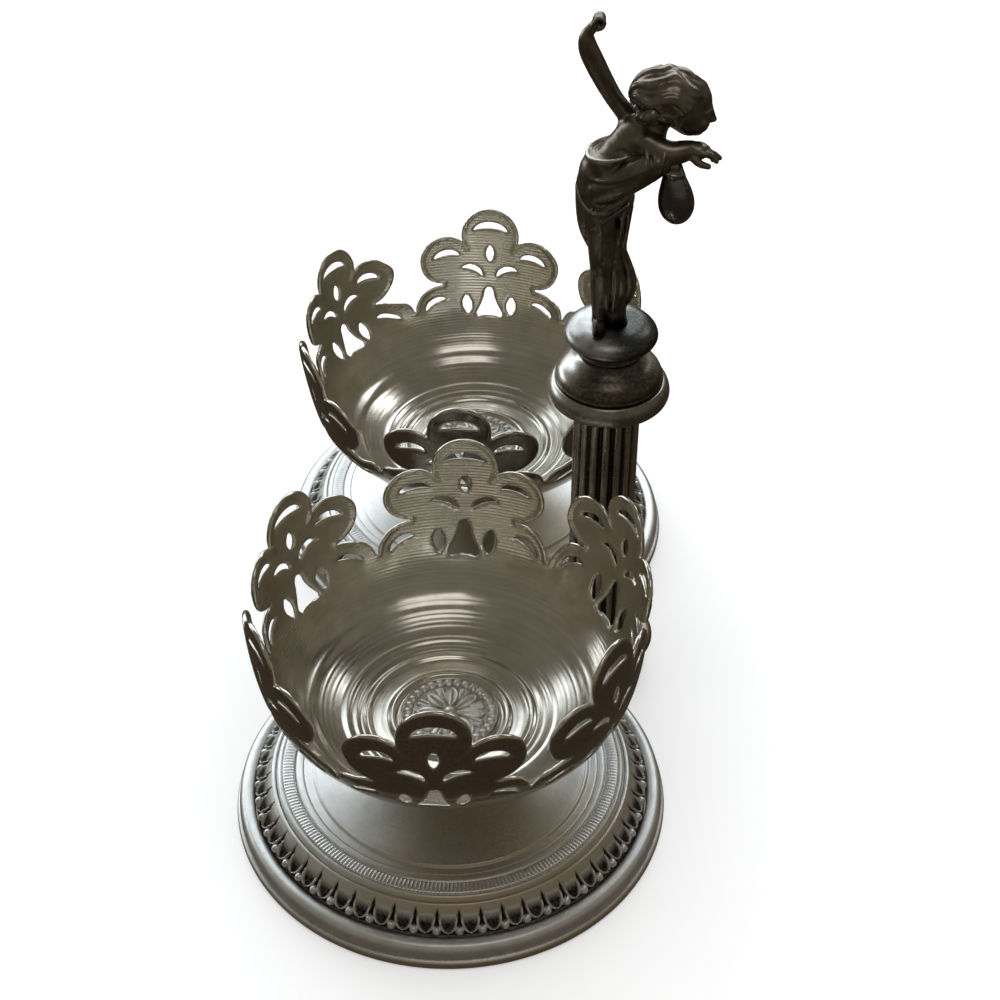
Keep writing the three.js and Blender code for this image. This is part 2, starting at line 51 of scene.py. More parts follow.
# %% [markdown]
# ## Camera
# The stand is seen from in front and about forty degrees above, from a third of a metre away.
# A camera can be aimed with a constraint or by hand. Here its axes are worked out from three angles,
# because these angles were found by fitting circles to the rims of the feet and the cups.

# %% Camera
EYE = (0.01840, -0.28953, 0.28137)
YAW, PITCH, ROLL = -0.0457, 0.6953, -0.0078
LENS, SENSOR = 71.06, 36

forward = Vector((np.sin(YAW) * np.cos(PITCH), np.cos(YAW) * np.cos(PITCH), -np.sin(PITCH)))
level = Vector((np.cos(YAW), -np.sin(YAW), 0))
rightward = Matrix.Rotation(ROLL, 3, forward) @ level
axes = Matrix((rightward, rightward.cross(forward), -forward)).transposed()

camera = bpy.data.objects.new("camera", bpy.data.cameras.new("camera"))
bpy.context.scene.collection.objects.link(camera)
camera.matrix_world = Matrix.Translation(EYE) @ axes.to_4x4()
camera.data.lens = LENS
camera.data.sensor_width = SENSOR
camera.data.clip_start = 0.01
bpy.context.scene.camera = camera
print("camera looks along", [round(x, 3) for x in forward])

# %% [markdown]
# ## Nodes
# The surround and the metals are made of shader nodes. They could be joined by hand in the editor.
# A few short helpers say the same in a line each: add a node, do a sum, mix two colours.

# %% Node helpers
def add(tree, kind, **values):
    """A new node, with its settings and unlinked inputs given by name."""
    made = tree.nodes.new(kind)
    for key, value in values.items():
        if hasattr(made, key):
            setattr(made, key, value)
        else:
            made.inputs[key.replace("_", " ")].default_value = value
    return made


def feed(tree, socket, value):
    """Gives a socket a number or a colour, or links it to what another node puts out."""
    if isinstance(value, bpy.types.NodeSocket):
        tree.links.new(value, socket)
    else:
        socket.default_value = (*value, 1) if isinstance(value, tuple) else value


def math(tree, operation, *operands):
    made = add(tree, "ShaderNodeMath", operation=operation)
    for socket, value in zip(made.inputs, operands):
        feed(tree, socket, value)
    return made.outputs[0]


def mixed(tree, factor, low, high):
    """The low colour where the factor is 0, and the high one where it is 1."""
    made = add(tree, "ShaderNodeMix", data_type="RGBA")
    for socket, value in ((made.inputs["Factor"], factor), (made.inputs[6], low), (made.inputs[7], high)):
        feed(tree, socket, value)
    return made.outputs[2]


def ramp(tree, source, stops):
    """A colour ramp on a value: stops are [position, colour or grey]."""
    made = add(tree, "ShaderNodeValToRGB")
    elements = made.color_ramp.elements
    while len(elements) < len(stops):
        elements.new(0.5)
    for element, (position, colour) in zip(elements, stops):
        element.position = position
        element.color = (*colour, 1) if isinstance(colour, tuple) else (colour, colour, colour, 1)
    feed(tree, made.inputs[0], source)
    return made.outputs[0]


# %% [markdown]
# ## Floor and light
# Polished metal has no look of its own: it shows the room. The room here is a warm, dim surround with
# one wide cool window behind the stand, a lower one on the left, a panel on the right and one above.
# The floor is plain and pale. It is kept out of the reflections, as black felt under a silver stand
# would be, so the metal keeps its dark side.

# %% Surround
TABLE_BROWN = (0.060, 0.045, 0.030)
ROOM_OLIVE = (0.180, 0.160, 0.122)
CEILING = (0.125, 0.112, 0.088)
PALE_GREY = (0.8, 0.8, 0.8)

world = bpy.data.worlds.new("surround")
world.use_nodes = True
bpy.context.scene.world = world
sky = world.node_tree
direction = add(sky, "ShaderNodeTexCoord")
split = add(sky, "ShaderNodeSeparateXYZ")
feed(sky, split.inputs[0], direction.outputs["Generated"])
upness = math(sky, "MULTIPLY_ADD", split.outputs["Z"], 0.5, 0.5)
room = ramp(sky, upness, [(0.1, TABLE_BROWN), (0.47, TABLE_BROWN), (0.56, ROOM_OLIVE), (1, CEILING)])
mirrored = add(sky, "ShaderNodeLightPath").outputs["Is Glossy Ray"]
feed(sky, sky.nodes["Background"].inputs["Color"], mixed(sky, mirrored, PALE_GREY, room))
sky.nodes["Background"].inputs["Strength"].default_value = 1
print("surround:", len(sky.nodes), "nodes")

# %% Lights
STAND_MIDDLE = Vector((0, 0, 0.04))


def soft_light(name, place, size, power, colour):
    """A rectangular area light that faces the stand; sizes in metres, power in watts."""
    data = bpy.data.lights.new(name, "AREA")
    data.shape = "RECTANGLE"
    data.size, data.size_y = size
    data.energy = power
    data.color = colour
    light = bpy.data.objects.new(name, data)
    bpy.context.scene.collection.objects.link(light)
    light.location = place
    light.rotation_euler = (STAND_MIDDLE - Vector(place)).to_track_quat("-Z", "Y").to_euler()


soft_light("window", (-0.22, 0.80, 0.50), (1.2, 0.66), 5.6, (0.84, 0.93, 1))
soft_light("low_window", (-0.75, 0.45, 0.16), (0.5, 0.25), 1.1, (0.88, 0.95, 1))
soft_light("side_panel", (0.52, 0.60, 0.66), (0.2, 0.3), 0.65, (0.93, 0.97, 1))
soft_light("top_panel", (0.10, -0.30, 0.85), (0.46, 0.30), 0.42, (1, 0.95, 0.94))
print("lights:", [light.name for light in bpy.data.lights])

# %% Floor
FLOOR_REACH = 8

floor_mesh = bpy.data.meshes.new("floor")
floor_corners = [(x * FLOOR_REACH, y * FLOOR_REACH, 0) for x, y in ((-1, -1), (1, -1), (1, 1), (-1, 1))]
floor_mesh.from_pydata(floor_corners, [], [(0, 1, 2, 3)])
floor = bpy.data.objects.new("floor", floor_mesh)
bpy.context.scene.collection.objects.link(floor)
floor.visible_glossy = False
paper = bpy.data.materials.new("pale_paper")
paper.use_nodes = True
for key, value in (("Base Color", (0.86, 0.86, 0.85, 1)), ("Roughness", 0.9), ("Specular IOR Level", 0),
                   ("Emission Color", (1, 1, 1, 1)), ("Emission Strength", 0.25)):
    paper.node_tree.nodes["Principled BSDF"].inputs[key].default_value = value
floor_mesh.materials.append(paper)
bpy.context.scene.view_settings.view_transform = "Standard"
print("floor:", 2 * FLOOR_REACH, "m wide")

# %% [markdown]
# ## From numbers to surfaces
# Every turned, struck or cut piece below is a grid of points. Rows run along a profile, and columns
# run round the piece. Such a grid could be made with Blender's Spin tool. With numpy it is a few whole
# arrays, and a relief is one more sum. The helpers here join a grid into faces, and turn the faces
# outwards by the sign of the volume that they enclose.

# %% Faces and pieces
def grid_faces(rows, columns, loop):
    """The four-cornered faces of a grid whose columns close on themselves, and whose rows do with loop."""
    index = np.arange(rows * columns).reshape(rows, columns)
    if loop:
        index = np.vstack([index, index[:1]])
    index = np.hstack([index, index[:, :1]])
    return np.stack([index[:-1, :-1], index[:-1, 1:], index[1:, 1:], index[1:, :-1]], -1).reshape(-1, 4)


def enclosed_volume(points, faces):
    """A sixth of the sum of a . (b x c) over the triangles a, b, c that fan out from each face's corner."""
    total = 0.0
    for part in faces:
        a = points[part[:, 0]]
        for k in range(1, part.shape[1] - 1):
            total += np.einsum("ij,ij->", a, np.cross(points[part[:, k]], points[part[:, k + 1]])) / 6
    return total


def make_piece(name, points, faces, finish, replaces, attributes):
    """A mesh object from points in millimetres and face arrays, one array for each number of corners."""
    if enclosed_volume(points, faces) < 0:
        faces = [part[:, ::-1] for part in faces]
    sizes = np.concatenate([np.full(len(part), part.shape[1]) for part in faces])
    mesh = bpy.data.meshes.new(name)
    mesh.vertices.add(len(points))
    mesh.vertices.foreach_set("co", (points * MM).astype(np.float32).ravel())
    mesh.loops.add(int(sizes.sum()))
    mesh.loops.foreach_set("vertex_index", np.concatenate([part.ravel() for part in faces]).astype(np.int32))
    mesh.polygons.add(len(sizes))
    mesh.polygons.foreach_set("loop_start", np.concatenate([[0], np.cumsum(sizes)[:-1]]).astype(np.int32))
    mesh.update(calc_edges=True)
    mesh.validate()
    mesh.shade_smooth()
    for key, values in attributes.items():
        stored = mesh.attributes.new(key, "FLOAT", "POINT")
        stored.data.foreach_set("value", values.astype(np.float32).ravel())
    material, slot = finish
    mesh.materials.append(material)
    piece = bpy.data.objects.new(name, mesh)
    bpy.context.scene.collection.objects.link(piece)
    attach(piece, "root")
    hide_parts(*replaces)
    print(f"{name}: {int((sizes - 2).sum())} triangles")


def middle(node):
    """The middle of a solid's box in the plane of the table, in millimetres."""
    low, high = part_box(node)
    return np.array([(low[0] + high[0]) / 2, (low[1] + high[1]) / 2]) / MM


SALTS = {side: middle(f"{side}_rolled_rim") for side in ("front", "rear")}
COLUMN = middle("capital_ring")
for side, place in {**SALTS, "column": COLUMN}.items():
    print(side, "stands at", np.round(place, 2).tolist())

# %% [markdown]
# Three small formulas shape most of the pieces: a polygon whose corners are cut until it is soft, a
# ridge on a line, and a smooth step between two levels.

# %% Soft lines, ridges and steps
def softened(corners, times=3, closed=True):
    """A polygon with its corners cut at a quarter and three quarters of each side, again and again."""
    line = np.asarray(corners, float)
    for _ in range(times):
        after = np.roll(line, -1, 0) if closed else line[1:]
        here = line if closed else line[:-1]
        cut = np.stack([0.75 * here + 0.25 * after, 0.25 * here + 0.75 * after], 1).reshape(-1, line.shape[1])
        line = cut if closed else np.vstack([line[:1], cut, line[-1:]])
    return line


def ridge(distance, width):
    """1 on a line, falling smoothly to 0 at the width."""
    return np.clip(1 - (distance / width) ** 2, 0, 1) ** 2


def rise(value, start, end):
    """0 before start, 1 after end, with a smooth step between."""
    t = np.clip((value - start) / (end - start), 0, 1)
    return t * t * (3 - 2 * t)


print("a square cut three times has", len(softened([(0, 0), (1, 0), (1, 1), (0, 1)])), "corners")

# %% [markdown]
# ## Silver, its tarnish, and light and shade painted into it
# Silver plate is bright where it is rubbed and goes yellow, brown and then black where it isn't.
# It could be painted from a picture. Here noise in the object's own coordinates mixes two tones of the
# metal and changes its roughness, fine turning lines come from the length measured along the profile,
# and a mask that each piece carries says where the dark tarnish sits. That mask also paints light and
# shade into the colour: painted shade on the fronts of the feet and the column, in the leaves' scoops
# and under the plinth, and a painted highlight on the figure's hem.

# %% Noise and lines
def attribute(tree, name):
    return add(tree, "ShaderNodeAttribute", attribute_name=name).outputs["Fac"]


def noise(tree, scale, detail=4.0):
    """Soft clouds in the piece's own coordinates, from 0 to 1."""
    made = add(tree, "ShaderNodeTexNoise", Scale=scale, Detail=detail, Roughness=0.6)
    feed(tree, made.inputs["Vector"], add(tree, "ShaderNodeTexCoord").outputs["Object"])
    return made.outputs["Fac"]


def streaks(tree):
    """Bands that run round a turned piece: noise on the length along its profile alone."""
    made = add(tree, "ShaderNodeTexNoise", noise_dimensions="1D", Scale=1.3, Detail=3.0)
    feed(tree, made.inputs["W"], attribute(tree, "along"))
    return made.outputs["Fac"]


def blended(tree, first, second, share):
    """A share of the second value added to what is left of the first."""
    return math(tree, "ADD", math(tree, "MULTIPLY", first, 1 - share), math(tree, "MULTIPLY", second, share))


def turning_lines(tree, depth, pitch):
    """A sine of the length along the profile, which wanders a little and comes and goes in patches."""
    wander = math(tree, "MULTIPLY", noise(tree, 40, 1), 0.3)
    phase = math(tree, "MULTIPLY", math(tree, "ADD", attribute(tree, "along"), wander), TAU / pitch)
    strength = ramp(tree, noise(tree, 45, 2), [(0.38, 0.25 * depth), (0.62, depth)])
    return math(tree, "MULTIPLY", math(tree, "SINE", phase), strength)


# %% The metals
COMBED_STREAKS, PLAIN_STREAKS = 0.4, 0.12


def tarnish_and_painted_light_tones(tree, colour, dark, below, fine, specks):
    """Dark where the piece's mask is high, for patina and for painted shade, and a third tone where the mask
    is below zero: wear and a painted highlight on the figure, a brown painted shade on the feet. Fine noise
    frays the edge between them."""
    mask = attribute(tree, "tarnish_and_painted_light")
    frayed = math(tree, "MULTIPLY", math(tree, "SUBTRACT", fine, 0.5), specks)
    tarnish_and_shade_share = ramp(tree, math(tree, "ADD", mask, frayed), [(0.12, 0), (0.8, 1)])
    colour = mixed(tree, tarnish_and_shade_share, colour, dark)
    if below:
        # below zero: wear and a painted highlight on the figure, a brown painted shade on the feet
        wear_and_painted_light = ramp(tree, math(tree, "SUBTRACT", frayed, mask), [(0.15, 0), (0.9, 1)])
        colour = mixed(tree, wear_and_painted_light, colour, below)
    return colour


def metal(name, slot, bright, dull, dark, roughness, grain=0.0, patch=220.0, specks=0.25, below=None,
          lines=0.0, line_pitch=0.7, combed=False):
    """Metal that goes from bright to dull in soft patches, with a grain and, on turned pieces, with lines.
    Gives the material and the slot of the record that it belongs to."""
    material = bpy.data.materials.new(name)
    material.use_nodes = True
    tree = material.node_tree
    shader = tree.nodes["Principled BSDF"]
    shader.inputs["Metallic"].default_value = 1

    fine = noise(tree, patch * 9, 6)
    patches = ramp(tree, noise(tree, patch), [(0.35, 0), (0.7, 1)])
    uneven = noise(tree, patch * 2.5)
    height = math(tree, "MULTIPLY", fine, grain)
    if lines:
        bands = streaks(tree)
        share = COMBED_STREAKS if combed else PLAIN_STREAKS
        patches = blended(tree, patches, ramp(tree, bands, [(0.35, 0), (0.65, 1)]), share)
        uneven = blended(tree, uneven, bands, 0.5)
        comb = turning_lines(tree, lines, line_pitch)
        if combed:
            comb = math(tree, "MULTIPLY", comb, attribute(tree, "combed"))
        height = math(tree, "ADD", height, comb)

    colour = mixed(tree, patches, bright, dull)
    if dark:
        colour = tarnish_and_painted_light_tones(tree, colour, dark, below, fine, specks)
    feed(tree, shader.inputs["Base Color"], colour)
    feed(tree, shader.inputs["Roughness"], ramp(tree, uneven, [(0.3, roughness[0]), (0.75, roughness[1])]))
    bump = add(tree, "ShaderNodeBump", Strength=1.0, Distance=MM)
    feed(tree, bump.inputs["Height"], height)
    feed(tree, shader.inputs["Normal"], bump.outputs[0])
    return material, slot


# %% [markdown]
# Each finish is three tones, from bright over dull to the tarnish and painted shade, and a range of
# roughness; some have a fourth tone below. The feet are satin with fine lines, the cups smoother and
# combed, the column brown, and the figure nearly black.

# %% Finishes
# below is a fourth tone where the mask is under zero: a brown painted shade on the feet's fronts, and wear
# with a painted highlight on the figure
satin = metal("satin_silver", "satin_silver", (0.90, 0.91, 0.91), (0.76, 0.76, 0.73), (0.10, 0.085, 0.065),
              (0.38, 0.50), grain=0.034, lines=0.004, line_pitch=0.32, specks=0.6, below=(0.60, 0.53, 0.41))
struck = metal("struck_silver", "darkened_silver", (0.84, 0.84, 0.81), (0.68, 0.67, 0.62),
               (0.028, 0.023, 0.017), (0.36, 0.48), grain=0.008, specks=0.5, below=(0.58, 0.51, 0.40))
spun = metal("cup_silver", "cup_silver", (0.80, 0.77, 0.69), (0.61, 0.575, 0.50), (0.17, 0.135, 0.10),
             (0.15, 0.25), lines=0.016, line_pitch=0.66, combed=True, specks=0.5)
medallion = metal("medallion_silver", "cup_silver", (0.86, 0.85, 0.80), (0.70, 0.68, 0.61),
                  (0.05, 0.04, 0.03), (0.28, 0.40), grain=0.003)
browned = metal("column_silver", "column_patina", (0.50, 0.44, 0.37), (0.34, 0.295, 0.245),
                (0.05, 0.040, 0.030), (0.24, 0.36), grain=0.002, specks=0.06)
half_browned = metal("capital_silver", "column_patina", (0.66, 0.65, 0.61), (0.39, 0.35, 0.29),
                     (0.085, 0.066, 0.050), (0.24, 0.36), grain=0.007, patch=170, specks=0.5)
greyed = metal("plinth_silver", "column_patina", (0.60, 0.60, 0.58), (0.30, 0.30, 0.29),
               (0.05, 0.05, 0.045), (0.26, 0.42), grain=0.007, patch=240, specks=0.45)
bronzed = metal("figure_bronze", "figure_patina", (0.27, 0.23, 0.185), (0.12, 0.10, 0.082),
                (0.008, 0.0065, 0.0055), (0.24, 0.42), grain=0.012, patch=260, below=(0.50, 0.47, 0.43))
polished = metal("polished_bronze", "figure_patina", (0.25, 0.245, 0.26), (0.13, 0.13, 0.135),
                 (0.02, 0.017, 0.015), (0.08, 0.16), grain=0.004, patch=260)
brass = metal("turned_brass", "brass", (0.72, 0.56, 0.28), (0.55, 0.42, 0.22), None, (0.25, 0.45), grain=0.01)
solder = metal("solder_silver", "satin_silver", (0.66, 0.66, 0.64), (0.45, 0.44, 0.41), None, (0.3, 0.5),
               grain=0.02)
print("finishes:", [m.name for m in bpy.data.materials])

# %% [markdown]
# ## Rolled rims
# Each foot stands on a rolled rim: a narrow bead at the table, a fine groove, and a wide roll that falls
# in a hollow to the ornament. A lathe tool or Blender's Screw modifier could make it. Here turned work is
# a profile swept round an axis as an array. The profile is a short polygon whose corners are cut three
# times, which gives soft mouldings from few numbers.

# %% Turning
def angles(columns):
    return np.arange(columns) * TAU / columns


def arc_length(line):
    """The length along a line from its first point to each of its points."""
    return np.concatenate([[0], np.cumsum(np.hypot(*np.diff(line, axis=0).T))])


def round_axis(angle, radius, height, centre):
    """Points at an angle, a radius and a height round the upright axis over a centre."""
    grid = np.stack(np.broadcast_arrays(radius * np.cos(angle), radius * np.sin(angle), height), -1)
    return grid.reshape(-1, 3) + np.array([*centre, 0])


def turned_piece(name, profile, columns, centre, finish, replaces, tarnish_and_painted_light, relief=None):
    """A profile of radius and height that closes on itself, swept round an axis. relief may move each grid
    point to a new radius and height, and the mask function says how dark it is there, from patina and from
    painted shade."""
    angle = np.tile(angles(columns), (len(profile), 1))
    radius, height = (np.repeat(profile[:, k:k + 1], columns, 1) for k in (0, 1))
    attributes = {"along": np.repeat(arc_length(profile), columns), "tarnish_and_painted_light": tarnish_and_painted_light(angle, radius, height)}
    if relief:
        radius, height = relief(angle, radius, height)
    points = round_axis(angle, radius, height, centre)
    make_piece(name, points, [grid_faces(len(profile), columns, True)], finish, [replaces], attributes)


# %% Rolled rims
RIM = [(36.7, 0), (39.2, 0), (39.84, 0.1), (40.0, 0.75), (39.92, 1.5), (39.45, 1.75), (39.15, 1.85),
       (39.3, 2.0), (39.45, 2.9), (39.2, 4.1), (38.5, 4.85), (37.6, 4.95), (36.95, 4.75), (36.6, 4.5),
       (36.5, 4.3), (36.5, 0.15)]
RIM_GROOVE = (39.2, 1.85)
RIM_COLUMNS = 240


def front_painted_shade(angle):
    """How strongly a brown painted shade lies on the front and right of each foot, standing in for the dark
    things that the metal reflects there.
    """
    return 0.85 * rise(np.cos(angle + 1.15), 0.25, 0.95)


def rim_tarnish_and_shade(angle, radius, height):
    groove = 0.5 * ridge(np.hypot(radius - RIM_GROOVE[0], height - RIM_GROOVE[1]), 0.55)
    hollow = 0.3 * rise(radius, 37.0, 36.6) * (height > 3)
    tarnish_and_painted_light = groove + hollow + 0.5 * rise(height, 0.5, 0.0)
    # painted shade: brown on the front and right, strongest low on the rim
    painted_front_shade = front_painted_shade(angle) * (0.15 + 0.85 * rise(height, 3.0, 1.8))
    return np.where(tarnish_and_painted_light > 0.1, tarnish_and_painted_light, -painted_front_shade)


for side, centre in SALTS.items():
    turned_piece(f"{side}_rim", softened(RIM), RIM_COLUMNS, centre, satin, f"{side}_rolled_rim", rim_tarnish_and_shade)

# %% [markdown]
# ## Spread feet
# The foot is one spun shell. Inside the leaf border it has a plain rounded band, a band of close radial
# ticks struck with a toothed wheel, a flat land with a fine line, a small step, and the hollow trumpet
# that rises to the neck. The ticks could be a bump in the finish, but so near the eye a bump would look
# printed. They are real ridges here: every third column of the grid sinks inside the band.

# %% The foot's profile
FOOT_WALL = 0.9
STUD_HOLE = 1.8
NECK_TOP = 19.2


def bezier(corners, count):
    """A Bezier curve through its end corners, as repeated blends between neighbouring corners."""
    t = np.linspace(0, 1, count)[:, None]
    blends = [np.tile(np.asarray(corner, float), (count, 1)) for corner in corners]
    while len(blends) > 1:
        blends = [(1 - t) * a + t * b for a, b in zip(blends, blends[1:])]
    return blends[0]


def foot_profile():
    """The shell's upper line, then its lower line a wall's thickness below it, as one closed loop."""
    slope = [(36.3, 1.44), (36.3, 3.9), (35.85, 4.05), (35.7, 4.3), (32.55, 7.9)]
    band = [(32.55, 7.9), (32.4, 8.15), (32.3, 9.0), (31.7, 9.75), (31.2, 9.62), (31.12, 9.55), (31.0, 9.75)]
    ticks = np.stack([np.linspace(30.9, 28.9, 9), 9.86 + 0.1 * np.sin(np.linspace(0, np.pi, 9))], 1)
    land = [(28.75, 9.72), (28.65, 9.6), (28.5, 9.72), (28.2, 9.88), (27.3, 9.86), (27.15, 9.74),
            (27.0, 9.84), (26.0, 9.86), (25.6, 9.9), (25.45, 10.2), (25.2, 10.36), (24.9, 10.34)]
    trumpet = bezier([(24.8, 10.36), (14.09, 10.7), (8, 15.36), (8, NECK_TOP)], 24)
    under = [(STUD_HOLE, NECK_TOP - FOOT_WALL), (7.1, NECK_TOP - FOOT_WALL), (7.2, 16.5), (8.6, 14.2),
             (13, 11.4), (20, 9.7), (24.7, 9.4), (30.2, 8.9), (31.4, 7.9), (35.4, 3.4), (35.4, 1.44)]
    return np.vstack([slope, softened(band, 2, False), ticks, softened(land, 2, False), trumpet,
                      [(STUD_HOLE, NECK_TOP)], under])


print("the foot's profile has", len(foot_profile()), "points")

# %% Spread feet
TICKS = 264
TICK_BAND = (28.7, 31.1)
TICK_DEPTH = 0.15
SHELL_TOP = 9.3
FINE_LINES = [(28.65, 0.2, 0.45), (27.15, 0.2, 0.5), (31.12, 0.25, 0.35)]


def tick_groove(angle, radius, height):
    """True in the groove of each tick: two columns of three lie on its crest, one in the groove."""
    column = np.rint(angle * 3 * TICKS / TAU) % 3 == 0
    return column & (radius > TICK_BAND[0]) & (radius < TICK_BAND[1]) & (height > SHELL_TOP)


def tick_relief(angle, radius, height):
    inner, outer = TICK_BAND
    depth = TICK_DEPTH * rise(radius, inner, inner + 0.25) * rise(radius, outer, outer - 0.3)
    return radius, height - tick_groove(angle, radius, height) * depth


def foot_tarnish_and_shade(angle, radius, height):
    """Dark in the ticks' grooves, under the leaves and in the fine lines, with a brown painted shade
    elsewhere in front.
    """
    tarnish_and_painted_light = 0.30 * tick_groove(angle, radius, height) + 0.7 * rise(radius, 34.9, 35.8)
    for line_radius, width, strength in FINE_LINES:
        tarnish_and_painted_light += strength * ridge(radius - line_radius, width) * (height > 9)
    return np.where(tarnish_and_painted_light > 0.08, tarnish_and_painted_light, -front_painted_shade(angle))


for side, centre in SALTS.items():
    turned_piece(f"{side}_foot", foot_profile(), 3 * TICKS, centre, satin, f"{side}_foot_plate", foot_tarnish_and_shade,
                 tick_relief)

# %% [markdown]
# ## Leaf borders
# A struck strip runs round each foot: upright leaves hollowed like scoops, each with a raised edge that is
# round at the table's side, and between each two a dark pointed gap with a bead at its foot. It could be
# one leaf copied fifty-six times. As a height on a grid it stays one clean skin, and the same function
# says how dark each point is: dark in the gaps, with a painted shade low in each scoop.

# %% One leaf and its gap
LEAVES = 56
LEAF_PITCH = TAU * 34 / LEAVES
TIP = 0.05
HEAD_STARTS = 0.92


def leaf_height(across, up):
    """Height over the strip, and how dark it is, for a place across one leaf's pitch, from -0.5 to 0.5, and
    up its slope, 0 to 1.

    A leaf is a scoop, deep at its tip and running out into the plain head of the strip. Its half width
    grows like a quarter ellipse and then slowly to half a pitch. Its edge is a ridge. The gap that two
    leaves leave is low and dark, and narrows to a point. The bead is a cap at the foot of the gap. Inside
    the scoop, clear of its edge, a painted shade darkens the metal, most towards the tip.
    """
    grown = np.clip((up - TIP) / 0.42, 0, 1)
    width = 0.37 * np.sqrt(np.clip(1 - (1 - grown) ** 2, 0, 1)) + 0.16 * rise(up, 0.35, 0.9)
    beside = np.abs(np.abs(across) - width)
    below_tip = np.hypot(across, np.clip(TIP - up, 0, 1) * 1.3)
    edge = ridge(np.where(up > TIP, beside, below_tip), 0.1) * rise(up, 0.0, TIP) * rise(up, 0.7, 0.3)
    inside = rise(width - np.abs(across), -0.01, 0.06) * (up > TIP)
    scoop = inside * (0.08 + 0.46 * rise(up, 0.2, 0.8))
    from_gap = np.hypot((0.5 - np.abs(across)) * LEAF_PITCH, (up - 0.12) * 4.9)
    bead = np.sqrt(np.clip(1 - (from_gap / 0.74) ** 2, 0, 1))
    head = 0.54 * rise(up, 0.72, HEAD_STARTS)
    forms = np.broadcast_arrays(0.72 * edge, scoop, 0.95 * bead, head)
    height = np.maximum.reduce(forms) * rise(up, 1.06, 0.93)
    gap = (1 - inside) * (1 - edge) * rise(up, HEAD_STARTS, 0.8)
    # painted shade: darker low in each scoop, clear of its raised edge
    shade = 0.78 * inside * (1 - edge) * rise(up, 0.72, 0.3)
    return height, np.where(bead > 0.15, 0.08, np.maximum(gap, shade))


print("a leaf is", round(LEAF_PITCH, 2), "mm wide")

# %% Leaf borders
BORDER_FOOT = np.array([35.75, 4.5])
BORDER_HEAD = np.array([32.07, 8.67])
LEAF_COLUMNS = 24
BORDER_ROWS = 44
STRIP_BACK, STRIP_GROUND, LEAF_RELIEF = 0.175, 0.42, 0.95


def strip(up, proud):
    """Radius and height on the border's slope, moved out of it by a distance."""
    slope = BORDER_HEAD - BORDER_FOOT
    out = np.array([slope[1], -slope[0]]) / np.hypot(*slope)
    return [BORDER_FOOT[k] + slope[k] * up + out[k] * proud for k in (0, 1)]


columns = LEAVES * LEAF_COLUMNS
up = np.linspace(0, 1, BORDER_ROWS)[:, None]
across = (np.arange(columns) % LEAF_COLUMNS / LEAF_COLUMNS - 0.5)[None, :]
relief, dark = leaf_height(across, up)
front_radius, front_height = strip(up, STRIP_GROUND + LEAF_RELIEF * relief)
back_radius, back_height = [np.repeat(ends, columns, 1) for ends in strip(np.array([[1], [0]]), STRIP_BACK)]
radius = np.vstack([front_radius, back_radius])
height = np.vstack([front_height, back_height])
# painted shade: brown on the front, kept off the dark gaps and the shaded scoops
painted_front_shade = front_painted_shade(angles(columns)) * rise(dark, 0.12, 0.0)
mask = np.vstack([dark - painted_front_shade, np.ones((2, columns))])
for side, centre in SALTS.items():
    points = round_axis(angles(columns), radius, height, centre)
    make_piece(f"{side}_border", points, [grid_faces(BORDER_ROWS + 2, columns, True)], struck,
               [f"{side}_leaf_border"], {"tarnish_and_painted_light": mask.ravel()})

# %% [markdown]
# ## Cup collars
# A small flared ring between the neck and the cup hides the joint. It is turned like the rims, because
# on the real stand it is a turned ring too.

# %% Cup collars
COLLAR = [(STUD_HOLE, NECK_TOP), (7.9, NECK_TOP), (8.2, 19.25), (9.1, 19.8), (9.1, 20.4), (8.5, 20.9),
          (8.3, 21.2), (STUD_HOLE, 21.2)]
COLLAR_COLUMNS = 160


def collar_tarnish(angle, radius, height):
    return np.full(angle.shape, 0.35)


for side, centre in SALTS.items():
    turned_piece(f"{side}_collar", softened(COLLAR, 2), COLLAR_COLUMNS, centre, satin, f"{side}_cup_collar",
                 collar_tarnish)

# %% [markdown]
# ## Pierced cups
# A cup is one spun bowl. Its wall is cut into six lobes of five round petals, with eleven holes in each:
# crescents under the petals' edges, slots, and a tent between two slanted openings at the foot.
# Boolean cuts would leave ragged long faces. Here one function gives the distance to the nearest cut
# edge. A fine lattice is laid on the wall, the lattice points near a cut are pulled onto it, and the
# triangles that cross it are clipped there, so that each hole has a clean round edge.

# %% Petals and holes of one lobe
NOTCH = 35.2
LOBE = 23.2
LOBES = 6
LOBE_PITCH = TAU / LOBES
PETALS = [(0, 0.72, 0.262), (0.41, 0.48, 0.228), (-0.41, 0.48, 0.228), (0.45, 0.0, 0.23), (-0.45, 0.0, 0.23)]
WEB = [(-0.5, -0.3), (0.5, -0.3), (0.45, 0.0), (0.41, 0.48), (0, 0.72), (-0.41, 0.48), (-0.45, 0.0)]
TOP_SLOT = [(0, 0.43), (0.055, 0.54), (0, 0.65), (-0.055, 0.54)]
TENT = [(-0.15, -0.1), (0, -0.07), (0.15, -0.1), (0.06, 0.08), (0.04, 0.21), (-0.04, 0.21), (-0.06, 0.08)]
SIDE_SLOT = [(0.14, 0.02), (0.2, -0.09), (0.27, 0.04), (0.21, 0.16)]
SIDE_CRESCENTS = [(0.4, 0.495, 0.25, 0.09, -0.12), (0.165, 0.345, 0.22, 0.085, 0.4),
                  (0.49, 0.04, 0.22, 0.08, -0.5)]


